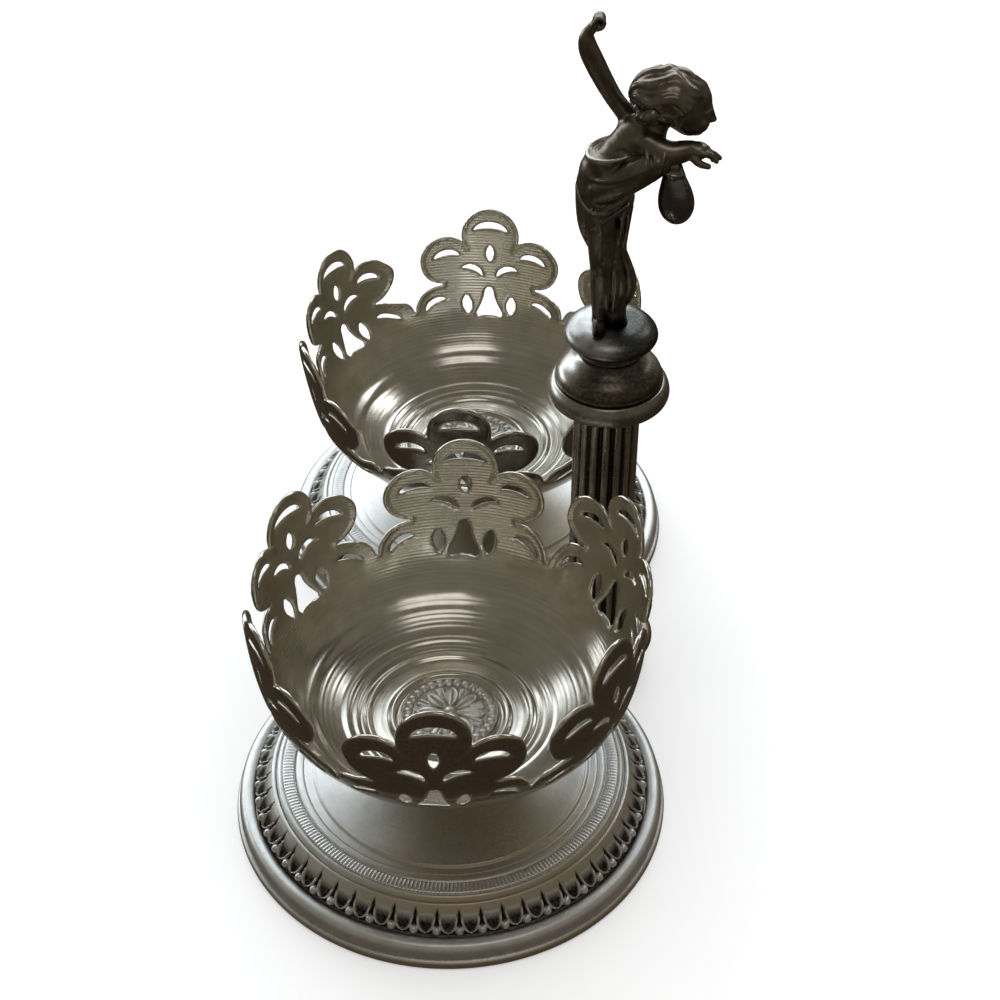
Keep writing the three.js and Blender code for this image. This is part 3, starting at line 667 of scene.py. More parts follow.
def crescent(across, up, width, height, lean):
    """A crescent with its horns down: a low arch and a higher, fuller one between the same two ends."""
    w, h = width, height
    low = bezier([(-w / 2, 0), (-w * 0.2, 0.35 * h), (w * 0.2, 0.35 * h), (w / 2, 0)], 10)
    high = bezier([(w / 2, 0), (w * 0.42, 1.25 * h), (-w * 0.42, 1.25 * h), (-w / 2, 0)], 16)
    turn = np.array([[np.cos(lean), np.sin(lean)], [-np.sin(lean), np.cos(lean)]])
    return np.vstack([low[:-1], high[:-1]]) @ turn + np.array([across, up])


def lobe_holes():
    """The outlines of one lobe's eleven holes, across and up from the notch, as shares of its height."""
    holes = [crescent(0, 0.76, 0.33, 0.105, 0), softened(TOP_SLOT, 2), softened(TENT, 1)]
    for side in (1, -1):
        for across, up, width, height, lean in SIDE_CRESCENTS:
            holes.append(crescent(side * across, up, width, height, side * lean))
        holes.append(softened(SIDE_SLOT, 1) * np.array([side, 1]))
    return [hole * LOBE for hole in holes]


HOLES = lobe_holes()
print("holes in a lobe:", len(HOLES))

# %% Distance to the cut edge
def outline_distance(points, outline):
    """Distance to a closed outline, negative inside: the least distance to any side, with its sign from
    the number of sides that a line to the right crosses."""
    least = np.full(len(points), np.inf)
    inside = np.zeros(len(points), bool)
    for (ax, ay), (bx, by) in zip(outline, np.roll(outline, -1, 0)):
        ex, ey = bx - ax, by - ay
        px, py = points[:, 0] - ax, points[:, 1] - ay
        t = np.clip((px * ex + py * ey) / (ex * ex + ey * ey + 1e-12), 0, 1)
        least = np.minimum(least, (px - t * ex) ** 2 + (py - t * ey) ** 2)
        if ay != by:
            inside ^= ((ay > points[:, 1]) != (by > points[:, 1])) & (px < ex * py / ey)
    return np.where(inside, -1, 1) * np.sqrt(least)


def contour_distance(across, up):
    """Signed distance to the lobe's outer contour: the union of the bowl, the web and the petals."""
    least = np.minimum(up, outline_distance(np.stack([across, up], 1), np.array(WEB) * LOBE))
    for x, y, radius in PETALS:
        least = np.minimum(least, np.hypot(across - x * LOBE, up - y * LOBE) - radius * LOBE)
    return least


def lobe_distance(across, up):
    """Signed distance to the sheet's cut edge, negative in the metal: the contour's, less the holes."""
    place = np.stack([across, up], 1)
    near = (up > -4) & (up < LOBE)
    cut = np.full(len(up), 9.0)
    for hole in HOLES:
        cut[near] = np.minimum(cut[near], outline_distance(place[near], hole))
    return np.maximum(contour_distance(across, up), -cut)


top_petal = np.array([[0], [0.72 * LOBE]])
print("from the top petal's middle to the nearest cut edge:", np.round(-lobe_distance(*top_petal), 2), "mm")

# %% [markdown]
# The wall is a line of radius and height, from the stud's hole over the floor and up the bowl to the
# lobes' tips. A place on the wall is then two numbers: the angle round the cup, and the length along
# this line.

# %% The cup's wall
CUP_FLOOR = 22.0
NOTCH_RADIUS = 32
SHEET = 0.6
FLOOR_ROWS = [0, 3, 5.5, 7.0]
RINGED_OUT_TO = 25.8
RINGED_STEP, PLAIN_STEP, LOBE_STEP = 0.26, 0.55, 0.39
LOBES_START_BELOW = 3.0


def nearest(line, place):
    return np.argmin(np.hypot(*(line - place).T))


def cup_rows():
    """The rows of the lattice: length along the wall, radius, height and tangent, and the number of rows
    below the lobes."""
    floor_line = [(STUD_HOLE, CUP_FLOOR), (9.6, CUP_FLOOR)]
    bowl = bezier([(10.8, 22), (20.98, 22), (29.03, 27.94), (NOTCH_RADIUS, NOTCH)], 60)
    lobe = bezier([(NOTCH_RADIUS, NOTCH), (34.79, 43.09), (35.4, NOTCH + LOBE)], 60)
    line = np.vstack([floor_line, bowl, lobe[1:]])
    lengths = arc_length(line)
    start = lengths[nearest(line, (NOTCH_RADIUS, NOTCH))] - LOBES_START_BELOW
    ringed = lengths[np.argmin(np.abs(line[:, 0] - RINGED_OUT_TO))]
    ringed_rows = np.arange(7.4, ringed, RINGED_STEP)
    plain_rows = np.linspace(ringed, start, int((start - ringed) / PLAIN_STEP) + 1)
    lobe_rows = np.linspace(start, lengths[-1], int((lengths[-1] - start) / LOBE_STEP) + 1)
    at = np.concatenate([FLOOR_ROWS, ringed_rows, plain_rows, lobe_rows[1:]])
    radius, height = (np.interp(at, lengths, line[:, k]) for k in (0, 1))
    tangent = np.stack([np.gradient(radius, at), np.gradient(height, at)], 1)
    tangent /= np.linalg.norm(tangent, axis=1)[:, None]
    return at, radius, height, tangent, len(at) - len(lobe_rows) + 1


ROW_AT, ROW_RADIUS, ROW_HEIGHT, ROW_TANGENT, BOWL_ROWS = cup_rows()


def wall(along):
    """Radius and height of the wall at a length along it."""
    return np.interp(along, ROW_AT, ROW_RADIUS), np.interp(along, ROW_AT, ROW_HEIGHT)


def across_lobe(angle, radius):
    """How far a place is from the middle line of the lobe that it belongs to."""
    return radius * np.sin(angle % LOBE_PITCH - LOBE_PITCH / 2)


def cut_distance(angle, along):
    """Signed distance to the cut edge for a place on the wall, negative in the metal."""
    radius, height = wall(along)
    return lobe_distance(across_lobe(angle, radius), height - NOTCH)


def cut_slopes(angle, along, step):
    """How much the cut distance grows in a millimetre round the cup, and in a millimetre up its wall."""
    turn = step / wall(along)[0]
    round_it = cut_distance(angle + turn, along) - cut_distance(angle - turn, along)
    up_it = cut_distance(angle, along + step) - cut_distance(angle, along - step)
    return round_it / (2 * step), up_it / (2 * step)


print("rows on the wall:", len(ROW_AT), "of them in the bowl:", BOWL_ROWS)

# %% [markdown]
# The bowl below the lobes takes half as many columns as the lobes do. A row of five-cornered faces joins
# the two. On the lobes, points close to a cut slide onto it first, so that the clipping leaves no slivers.

# %% Clipping a lattice
LEVEL = 1e-9


def clipped(places, value, triangles):
    """Keeps the part of a triangle lattice where value is below 0.

    Each side that runs from metal to air gets a point where the value is 0, found on a straight line and
    then corrected twice. A triangle with one corner in the air becomes a four-cornered face, one with two
    becomes a smaller triangle. Gives the new places, the triangles and the four-cornered faces.
    """
    sign = np.where(np.abs(value) <= LEVEL, 0, np.sign(value))
    corner = sign[triangles]
    in_metal = cut_distance(*places[triangles].mean(1).T) < 0
    solid = (corner <= 0).all(1) & ((corner < 0).any(1) | in_metal)
    split = triangles[(corner < 0).any(1) & (corner > 0).any(1)]

    sides = np.sort(np.concatenate([split[:, [0, 1]], split[:, [1, 2]], split[:, [2, 0]]]), 1)
    sides = np.unique(sides[sign[sides[:, 0]] * sign[sides[:, 1]] < 0], axis=0)
    a, b = places[sides[:, 0]], places[sides[:, 1]]
    fall = value[sides[:, 0]] - value[sides[:, 1]]
    share = value[sides[:, 0]] / fall
    for _ in range(2):
        here = cut_distance(*(a + share[:, None] * (b - a)).T)
        share = np.clip(share + here / fall, 0.02, 0.98)
    cross = a + share[:, None] * (b - a)
    key = sides[:, 0].astype(np.int64) * len(places) + sides[:, 1]

    def crossing(p, q):
        pair = np.minimum(p, q).astype(np.int64) * len(places) + np.maximum(p, q)
        return np.searchsorted(key, pair) + len(places)

    threes, fours = [triangles[solid]], []
    for turn in range(3):
        p, q, r = np.roll(split, -turn, 1).T
        first, second, third = sign[p], sign[q], sign[r]
        cases = (((second > 0) & (third > 0), (p, crossing(p, q), crossing(p, r))),
                 ((second == 0) & (third > 0), (p, q, crossing(p, r))),
                 ((second > 0) & (third == 0), (p, crossing(p, q), r)))
        for others, corners in cases:
            threes.append(np.stack(corners, 1)[(first < 0) & others])
        one_out = (first > 0) & (second < 0) & (third < 0)
        fours.append(np.stack([crossing(p, q), q, r, crossing(p, r)], 1)[one_out])
    return cross, np.concatenate(threes), np.concatenate(fours)


# %% The cup's lattice
LOBE_COLUMNS = 480
BOWL_COLUMNS = LOBE_COLUMNS // 2
CLOSE_TO_CUT = 0.17
SLIDE_STEP = 0.02


def slid_onto_cuts(places, value):
    """Moves the lattice points that lie close to a cut onto it, along the steepest way."""
    lobe_part = np.arange(BOWL_ROWS * BOWL_COLUMNS, len(places))
    value[lobe_part] = cut_distance(*places[lobe_part].T)
    for _ in range(3):
        close = lobe_part[np.abs(value[lobe_part]) < CLOSE_TO_CUT]
        round_it, up_it = cut_slopes(*places[close].T, SLIDE_STEP)
        move = -value[close] / np.maximum(round_it ** 2 + up_it ** 2 + 1e-6, 0.25)
        places[close, 0] += np.clip(move * round_it, -0.2, 0.2) / wall(places[close, 1])[0]
        places[close, 1] += np.clip(move * up_it, -0.2, 0.2)
        value[close] = cut_distance(*places[close].T)
    value[np.abs(value) < 0.02] = 0
    places[:, 1] = np.clip(places[:, 1], 0, ROW_AT[-1])


def grid_places(columns, rows_at):
    """Every column's angle at every row's length, row by row."""
    return np.stack([np.tile(angles(columns), len(rows_at)), np.repeat(rows_at, columns)], 1)


def grid_places(columns, rows_at):
    """Every column's angle at every row's length, row by row."""
    return np.stack([np.tile(angles(columns), len(rows_at)), np.repeat(rows_at, columns)], 1)


def cup_sheet():
    """The flat sheet of one cup: places as angle and length, the cut distance there, and faces of 3, 4
    and 5 corners."""
    bowl_count = BOWL_ROWS * BOWL_COLUMNS
    lobe_rows = len(ROW_AT) - BOWL_ROWS
    bowl = grid_places(BOWL_COLUMNS, ROW_AT[:BOWL_ROWS])
    places = np.vstack([bowl, grid_places(LOBE_COLUMNS, ROW_AT[BOWL_ROWS:])])
    value = np.full(len(places), -9.0)
    slid_onto_cuts(places, value)

    low = np.arange(BOWL_COLUMNS) + bowl_count - BOWL_COLUMNS
    high = np.arange(LOBE_COLUMNS) + bowl_count
    two = np.arange(BOWL_COLUMNS) * 2
    joint = np.stack([low, np.roll(low, -1), high[(two + 2) % LOBE_COLUMNS], high[two + 1], high[two]], 1)

    quads = grid_faces(lobe_rows, LOBE_COLUMNS, False) + bowl_count
    row, column = np.divmod(np.arange(len(quads)), LOBE_COLUMNS)
    uncut = (value[quads] < -LEVEL).all(1) & (cut_distance(*places[quads[:, 0]].T) < -0.3)
    slash = ((row + column) % 2 == 0)[~uncut][:, None]
    a, b, c, d = quads[~uncut].T[:, :, None]
    first = np.hstack([a, b, np.where(slash, c, d)])
    second = np.hstack([np.where(slash, a, b), c, d])
    cross, threes, fours = clipped(places, value, np.concatenate([first, second]))
    fours = np.vstack([grid_faces(BOWL_ROWS, BOWL_COLUMNS, False), quads[uncut], fours])
    return np.vstack([places, cross]), np.concatenate([value, np.zeros(len(cross))]), [threes, fours, joint]


def without_unused(places, value, faces):
    """Drops the lattice points that no face uses, and numbers the rest anew."""
    used = np.unique(np.concatenate([part.ravel() for part in faces]))
    renumber = np.full(len(places), -1)
    renumber[used] = np.arange(len(used))
    return places[used], value[used], [renumber[part] for part in faces]


PLACES, CUT_VALUE, SHEET_FACES = without_unused(*cup_sheet())
print("points in the sheet:", len(PLACES), "faces:", [len(part) for part in SHEET_FACES])

# %% [markdown]
# The sheet then gets its two sides, half its thickness each way. Where it ends, a third row of points
# stands out a little between them, so the cut edges are rounded as a file leaves them. The turning marks
# on the bowl are rings raised on its inner side; the finest lines come from the finish.

# %% The open edges
def open_sides(faces):
    """Sides that belong to one face only, in the direction that the face has them."""
    sides = np.concatenate([np.stack([part.ravel(), np.roll(part, -1, 1).ravel()], 1) for part in faces])
    _, first, count = np.unique(np.sort(sides, 1), axis=0, return_index=True, return_counts=True)
    return sides[first[count == 1]]


OPEN_EDGE = open_sides(SHEET_FACES)
EDGE_POINTS = np.unique(OPEN_EDGE)
print("points on the open edges:", len(EDGE_POINTS))

# %% The cup's two sides
RINGS = [(9.5, 0.6, -0.5), (10.5, 1.0, 0.5), (14.9, 0.9, 0.5), (16.0, 0.6, -0.14), (16.9, 0.5, 0.08),
         (18.6, 0.9, 0.22), (21.4, 0.5, 0.05), (22.2, 0.5, 0.05), (23.0, 0.5, 0.05), (24.9, 1.2, 0.2),
         (28.0, 0.9, 0.06)]
SHEET_MIDDLE = 0.12 + 0.5 * SHEET
EDGE_SWELL = 0.35


def wall_point(angle, distance, push_round=0, push_up=0):
    """Points off the sheet's middle by a distance outwards, and pushed in the sheet by small lengths."""
    tangent_r, tangent_z = (np.interp(PLACES[:, 1], ROW_AT, ROW_TANGENT[:, k]) for k in (0, 1))
    radius, height = wall(PLACES[:, 1])
    off_radius = radius + distance * tangent_z + push_up * tangent_r
    off_height = height - distance * tangent_r + push_up * tangent_z
    off_angle = angle + push_round / radius
    return np.stack([off_radius * np.cos(off_angle), off_radius * np.sin(off_angle), off_height], 1)


def thick_sheet(turn):
    """The inner side, the outer side, and the points that round the open edge between them."""
    radius, height = wall(PLACES[:, 1])
    angle = PLACES[:, 0] + turn
    ring = sum(tall * ridge(radius - at, width) * (height < 33) for at, width, tall in RINGS)
    from_contour = contour_distance(across_lobe(PLACES[:, 0], radius), height - NOTCH)
    swell = EDGE_SWELL * rise(from_contour, -0.7, -0.15) * (height > NOTCH - 2)
    on_cut = np.zeros(len(PLACES), bool)
    on_cut[EDGE_POINTS] = True
    on_cut &= PLACES[:, 1] > 10
    half = np.where(on_cut, 0.27 * SHEET, 0.5 * SHEET)
    inner = wall_point(angle, SHEET_MIDDLE - half - ring * 0.8 - swell)
    outer = wall_point(angle, SHEET_MIDDLE + half - 0.35 * ring)
    round_it, up_it = cut_slopes(*PLACES.T, 0.03)
    bulge = np.where(on_cut, 0.225 * SHEET, 0) / (np.hypot(round_it, up_it) + 1e-6)
    rim = wall_point(angle, SHEET_MIDDLE - 0.5 * swell, bulge * round_it, bulge * up_it)
    return np.vstack([inner, outer, rim[EDGE_POINTS]])


def sheet_shell():
    """The faces of the thick sheet: both sides, and two rows of faces along each open edge."""
    count = len(PLACES)
    rim_of = np.full(count, -1)
    rim_of[EDGE_POINTS] = np.arange(len(EDGE_POINTS)) + 2 * count
    a, b = OPEN_EDGE.T
    faces = [[part[:, ::-1], part + count] for part in SHEET_FACES]
    faces[1].append(np.stack([a, b, rim_of[b], rim_of[a]], 1))
    faces[1].append(np.stack([rim_of[a], rim_of[b], b + count, a + count], 1))
    return [np.concatenate(part) for part in faces]


CUP_FACES = sheet_shell()
print("faces of a cup:", [len(part) for part in CUP_FACES])

# %% [markdown]
# No two lobes of the real cups stand alike: long handling has bent each one a little. Each is
# moved by five small numbers here, which fade out at the notch and at the lobe's borders.

# %% Bent lobes
CUP_TURNS = {"front": np.radians(-1), "rear": np.radians(-2)}
CUP_BENDS = {
    "front": [(0, 1.18, 0, 0.22, 0.02), (0, 0, 0.03, 0, -0.026), (0.014, -0.7, 0.03, 0, 0),
              (0, -0.5, 0.03, 0, 0), (0.018, -0.64, 0.092, 0, 0.06), (-0.01, -0.6, 0.124, -0.16, 0.043)],
    "rear": [(0, -1.5, 0.03, 0, 0), (0.011, -1.07, -0.041, -0.12, 0.029), (0.058, -0.2, 0.025, 0.8, 0.079),
             (-0.019, -2.2, -0.035, 0, -0.059), (0, -0.87, 0.036, 0, 0.046), (0, -0.7, 0.06, 0, 0.04)]}


def bent(points, number, turn, bend):
    """One lobe shifted round the cup, lifted, leaned in by an angle that grows with height, drawn
    sideways at its top, and tilted in its own plane."""
    shift, lift, lean, sideways, tilt = bend
    centre_angle = (number + 0.5) * LOBE_PITCH + turn
    off = (np.arctan2(points[:, 1], points[:, 0]) - centre_angle + np.pi) % TAU - np.pi
    radius = np.hypot(points[:, 0], points[:, 1])
    above = points[:, 2] - NOTCH
    free = rise(above, -5, 4) * rise(LOBE_PITCH / 2 - np.abs(off), 0.0, 0.13)
    share = np.clip(above / LOBE, 0, 1.1) * (np.abs(off) < LOBE_PITCH / 2)
    across = radius * np.sin(off) + sideways * share ** 2
    inward = radius * np.cos(off) - np.sin(lean * share) * np.clip(above, 0, None)
    angle = centre_angle + np.arctan2(across, inward) + shift * free
    radius = np.hypot(across, inward)
    height = points[:, 2] + (lift + tilt * across) * free
    return np.stack([radius * np.cos(angle), radius * np.sin(angle), height], 1)


# %% Pierced cups
def three_parts(values):
    """A value of each point of the sheet, for its inner side, its outer side and its rounded edge."""
    return np.concatenate([values, values, values[EDGE_POINTS]])


def cup_masks():
    """Brown on the outside of the lobes, paler along the cuts and on the edges; and how deep the turning
    lines are: shallow in the bowl, deep inside the lobes, none outside."""
    counts = [len(PLACES), len(PLACES), len(EDGE_POINTS)]
    outward = np.repeat([0, 1, 0.25], counts)
    height = three_parts(wall(PLACES[:, 1])[1])
    tall = rise(height, 30, 37)
    mask = outward * (0.12 + 0.38 * tall) + (1 - outward) * 0.03 * tall
    mask *= np.repeat([1, 1, 0.2], counts)
    mask *= 0.45 + 0.55 * rise(np.abs(three_parts(CUT_VALUE)), 0.0, 0.5)
    combed = (0.12 + 0.7 * rise(height, 27, 34)) * (1 - outward)
    return {"along": three_parts(PLACES[:, 1]), "tarnish_and_painted_light": mask, "combed": combed}


for side, centre in SALTS.items():
    points = thick_sheet(CUP_TURNS[side])
    for number, bend in enumerate(CUP_BENDS[side]):
        points = bent(points, number, CUP_TURNS[side], bend)
    make_piece(f"{side}_cup", points + np.array([*centre, 0]), CUP_FACES, spun, [f"{side}_pierced_cup"],
               cup_masks())

# %% [markdown]
# ## Rosettes
# The cup is held by a stud whose head is a struck medallion: a plain edge, a ring of beads, and a flower
# of eight petals with veins, set between smaller leaves. It could be sculpted. A struck relief has no
# undercuts, so one height over a polar grid gives it exactly.

# %% The medallion's relief
ROSETTE_RADIUS = 8.6
ROSETTE_PETALS = 8
ROSETTE_BEADS = 30
BEAD_CIRCLE = 7.7


def from_nearest(angle, count):
    """The angle from the nearest of a number of places spread evenly round, with its sign."""
    pitch = TAU / count
    return (angle + pitch / 2) % pitch - pitch / 2


def rosette_height(angle, radius):
    """Height of the medallion over the cup's floor. The edge is a step, each bead a cap of a sphere, and
    each petal a leaf whose width follows a sine of the radius, with a vein and a turned-up edge."""
    top = np.where(radius > 8.35, 0.5 - 0.2 * rise(radius, 8.4, ROSETTE_RADIUS) ** 2, 0.1)
    bead_off = np.abs(from_nearest(angle, ROSETTE_BEADS) * BEAD_CIRCLE) / 0.76
    bead = np.clip(1 - bead_off ** 3 - (np.abs(radius - BEAD_CIRCLE) / 0.82) ** 3, 0, 1) ** 0.45
    off = np.abs(from_nearest(angle, ROSETTE_PETALS))
    reach = np.clip((radius - 1.1) / 5.4, 0, 1)
    half_width = 0.36 * np.sin(np.pi * np.clip(reach, 0.04, 1) ** 0.8) ** 0.7
    on_petal = rise(half_width - off, 0.0, 0.07) * (radius < 6.55)
    petal = on_petal * (0.35 + 0.25 * np.sin(np.pi * reach) + 0.35 * ridge(half_width - off, 0.12))
    vein = 0.45 * ridge(off * radius, 0.34) * on_petal * rise(radius, 5.9, 4.6)
    between = np.abs(off - np.pi / ROSETTE_PETALS)
    leaf = 0.55 * rise(0.19 - between, 0.0, 0.08) * rise(radius, 3.4, 4.4) * rise(radius, 6.7, 6.2)
    ribs = 0.25 * ridge(between * radius, 0.3) * (leaf > 0.2)
    boss = 1.15 * np.sqrt(np.clip(1 - (radius / 1.5) ** 2, 0, 1))
    forms = np.broadcast_arrays(top, 0.1 + 0.75 * bead, 0.1 + petal + vein, 0.1 + leaf + ribs, 0.3 + boss)
    return np.maximum.reduce(forms)


print("height of the boss:", np.round(rosette_height(0.0, np.array([0.1])), 2))

# %% Rosettes
ROSETTE_COLUMNS = ROSETTE_BEADS * 12
ROSETTE_ROWS = 64
ROSETTE_TURN = np.radians(10)
SEAT = CUP_FLOOR + 0.12
STEM_RADIUS, STEM_END = 1.5, 14.1

angle = angles(ROSETTE_COLUMNS)[None, :] + ROSETTE_TURN
face_radius = np.linspace(ROSETTE_RADIUS, 0.12, ROSETTE_ROWS)[:, None]
tall = rosette_height(angle, face_radius)
stem = [(STEM_RADIUS, STEM_END), (STEM_RADIUS, SEAT), (ROSETTE_RADIUS, SEAT)]
stem_radius, stem_height = np.repeat(np.array(stem).T[:, :, None], ROSETTE_COLUMNS, 2)
radius = np.vstack([stem_radius, np.broadcast_to(face_radius, tall.shape)])
height = np.vstack([stem_height, SEAT + tall])
first = np.arange(ROSETTE_COLUMNS)
last = first + (len(radius) - 1) * ROSETTE_COLUMNS
bottom_point, top_point = radius.size, radius.size + 1
bottom_fan = np.stack([np.roll(first, -1), first, np.full(ROSETTE_COLUMNS, bottom_point)], 1)
top_fan = np.stack([last, np.roll(last, -1), np.full(ROSETTE_COLUMNS, top_point)], 1)
faces = [grid_faces(len(radius), ROSETTE_COLUMNS, False), np.vstack([bottom_fan, top_fan])]
mask = np.zeros(radius.shape)
mask[len(stem):] = rise(tall, 0.55, 0.12) * (face_radius < 8.4) * 0.85
mask = np.append(mask.ravel(), [0, 0])
for side, centre in SALTS.items():
    ends = [[*centre, STEM_END], [*centre, height[-1, 0]]]
    points = np.vstack([round_axis(angle, radius, height, centre), ends])
    make_piece(f"{side}_rosette", points, faces, medallion, [f"{side}_rosette_stud"], {"tarnish_and_painted_light": mask})

# %% [markdown]
# ## Column
# The foot of the column, its fluted shaft, the ring, the bell and the bun-shaped plinth are turned pieces
# threaded on one rod. The flutes could be cut with an array of round bars. Here they are a wave on the
# shaft's radius: narrow round hollows between wide rounded ridges, as the photograph shows them.

# %% Turned pieces of the column
BORE = 1.8
COLUMN_COLUMNS = 160
RING_TOP, BELL_NECK, PLINTH_BOTTOM = 69.7, 75.3, 77.0
COLUMN_FOOT = [(9.8, 5.0), (10.9, 5.2), (11.3, 5.9), (11.1, 6.7), (10.3, 7.3), (9.4, 7.45), (9.0, 7.6),
               (8.2, 8.0), (7.6, 8.6), (7.3, 9.3), (7.2, 10.2)]
RING = [(6.25, 64.0), (6.75, 64.05), (6.95, 64.35), (6.75, 64.75), (6.6, 64.95), (7.6, 65.0), (9.6, 65.35),
        (10.8, 66.0), (11.2, 66.9), (11.1, 67.9), (10.75, 68.8), (10.3, 69.45), (9.85, 69.7), (9.5, 69.5),
        (9.4, 69.0), (9.3, 68.45), (8.45, 68.45)]
BELL = [(8.45, 68.5), (9.1, 68.5), (9.2, 69.2), (9.3, 69.75), (9.75, 69.9), (9.9, 70.15), (9.7, 70.5),
        (9.6, 71.1), (9.1, 72.1), (8.0, 73.1), (6.6, 73.9), (5.8, 74.7), (5.55, 75.1), (5.5, 75.4),
        (5.75, 75.65), (5.8, 75.95), (5.5, 76.25), (5.3, 76.6), (5.3, PLINTH_BOTTOM)]
PLINTH = [(5.3, PLINTH_BOTTOM), (6.4, 77.25), (7.7, 78.0), (8.4, 78.9), (8.45, 79.6), (8.0, 80.5),
          (7.0, 81.3), (5.8, 81.75), (5.0, 81.9)]


def bored(corners):
    """A turned outline with its bore: the hole's wall joins its last point to its first."""
    return [(BORE, corners[0][1]), *corners, (BORE, corners[-1][1])]


def column_tarnish_and_shade(angle, radius, height):
    """Painted shade on the front of the bell and the ring, and on the plinth's right side and underside,
    where the metal would reflect dark things; and darker in the joints."""
    joints = 0.8 * ridge(height - RING_TOP, 0.35) * (radius < 9.8)
    joints += ridge(height - PLINTH_BOTTOM, 0.7) + ridge(height - BELL_NECK, 0.4)
    # painted shade: the front of the ring and the bell, the plinth's right side and its underside
    front = rise(np.cos(angle + 1.25), -0.1, 0.8)
    right = rise(np.cos(angle + 0.25), -0.25, 0.6)
    plinth = 0.7 * np.maximum(right, rise(height, 79.7, 78.6))
    capital = front * np.where(height > 69.8, 0.7, 0.42)
    return 0.06 + np.where(height > PLINTH_BOTTOM, plinth, capital) + 0.5 * joints


for name, corners, finish, node in (("column_base", COLUMN_FOOT, browned, "column_foot"),
                                    ("column_ring", RING, half_browned, "capital_ring"),
                                    ("column_bell", BELL, half_browned, "capital_bell"),
                                    ("plinth", PLINTH, greyed, "figure_plinth")):
    turned_piece(name, softened(bored(corners)), COLUMN_COLUMNS, COLUMN, finish, node, column_tarnish_and_shade)

# %% Fluted shaft
FLUTES = 16
COLUMNS_PER_FLUTE = 20
SHAFT_RADIUS = 6.05
HOLLOW_SHARE = 0.42
SHAFT = bored([(SHAFT_RADIUS, z) for z in (10.2, *np.linspace(10.4, 63.8, 12), 64.0)])


def from_flute(angle):
    """0 in the middle of a flute, 1 on the ridge between two."""
    return np.abs((angle * FLUTES / TAU) % 1 - 0.5) * 2


def flute_relief(angle, radius, height):
    """A half round hollow, with a wide ridge between each two that falls off like a parabola."""
    off = from_flute(angle)
    hollow = np.sqrt(np.clip(1 - (off / HOLLOW_SHARE) ** 2, 0, 1))
    shoulder = 0.28 * np.clip((1 - off) / (1 - HOLLOW_SHARE), 0, 1) ** 2
    return radius - (0.5 * hollow + shoulder) * (radius > 5), height


def shaft_tarnish(angle, radius, height):
    return 0.8 * rise(from_flute(angle), 0.6, 0.25) + 0.05


turned_piece("column_shaft", np.array(SHAFT), FLUTES * COLUMNS_PER_FLUTE, COLUMN, browned, "fluted_shaft",
             shaft_tarnish, flute_relief)

# %% [markdown]
# ## The dancing child
# The child is a small casting, a mass of rounded forms that run into each other and are cut back with a
# tool. A mesh pulled about by hand could do it. Here the block of air round it is a lattice of numbers:
# each number says how far that place is from the metal. Forms are laid in or cut away as whole arrays,
# with a fillet where they meet, and the skin is then drawn where the number is zero.

# %% Clay
CLAY_STEP = 0.18
CLAY_LOW = np.array([-8.4, -7.2, -0.7])
CLAY_HIGH = np.array([17.6, 7.2, 57.9])


def new_clay():
    """A lattice of distances, all far outside, and the places of its points along each axis."""
    axes = [np.arange(low, high, CLAY_STEP, np.float32) for low, high in zip(CLAY_LOW, CLAY_HIGH)]
    return np.full([len(axis) for axis in axes], 3.0, np.float32), axes


def work(distance, low, high, soft=0.3, cut=False):
    """Lays a form into the clay, or cuts it out, inside the box that holds it. The lesser of two distances
    a and b is taken with a fillet: it is lowered by k (h - h^2),
    with h = 1/2 + (b - a) / 2k kept in 0 to 1."""
    field, axes = clay
    part, place = [], []
    for axis, start, end in zip(axes, low, high):
        first, last = np.searchsorted(axis, (start - soft - 0.5, end + soft + 0.5))
        part.append(slice(first, last))
        place.append(axis[first:last])
    x, y, z = np.meshgrid(*place, indexing="ij", sparse=True)
    here = field[tuple(part)]
    new = distance(x, y, z)
    a, b = (-here, new) if cut else (here, new)
    h = np.clip(0.5 + 0.5 * (a - b) / soft, 0, 1)
    least = a + h * (b - a) - soft * h * (1 - h)
    field[tuple(part)] = -least if cut else least


clay = new_clay()
print("places in the clay:", clay[0].size)

# %% Limbs and lumps
def swept(x, y, z, path):
    """Distance to a tapering limb: to the nearest place on any stretch of its path, less the radius there.
    A path row is x, y, z, radius, and how many times narrower the limb is along y."""
    best = np.float32(9)
    for a, b in zip(path, path[1:]):
        way = b[:3] - a[:3]
        t = ((x - a[0]) * way[0] + (y - a[1]) * way[1] + (z - a[2]) * way[2]) / (way @ way)
        t = np.clip(t, 0, 1)
        off = (x - a[0] - t * way[0]) ** 2 + ((y - a[1] - t * way[1]) * (a[4] + t * (b[4] - a[4]))) ** 2
        off = np.sqrt(off + (z - a[2] - t * way[2]) ** 2)
        best = np.minimum(best, off - (a[3] + t * (b[3] - a[3])))
    return best


def egg(x, y, z, centre, radii):
    """Nearly the distance to an ellipsoid: k (k - 1) / m, with k and m the lengths of p / r and p / r^2."""
    p = [(c - m) / r for c, m, r in zip((x, y, z), centre, radii)]
    k = np.sqrt(sum(c * c for c in p)) + 1e-6
    return k * (k - 1) / (np.sqrt(sum((c / r) ** 2 for c, r in zip(p, radii))) + 1e-6)


def limb(rows, soft=0.3, cut=False, times=2):
    """A swept form whose path is softened; rows may leave out the last number, which is then 1."""
    rows = np.array([[*row, 1.0][:5] for row in rows])
    path = softened(rows, times, False) if len(rows) > 2 else rows
    low, high = (path[:, :3] - path[:, 3:4]).min(0), (path[:, :3] + path[:, 3:4]).max(0)
    work(lambda x, y, z: swept(x, y, z, path), low, high, soft, cut)


def lump(centre, radii, soft=0.3, cut=False):
    centre, radii = np.array(centre, float), np.array(radii, float)
    work(lambda x, y, z: egg(x, y, z, centre, radii), centre - radii, centre + radii, soft, cut)


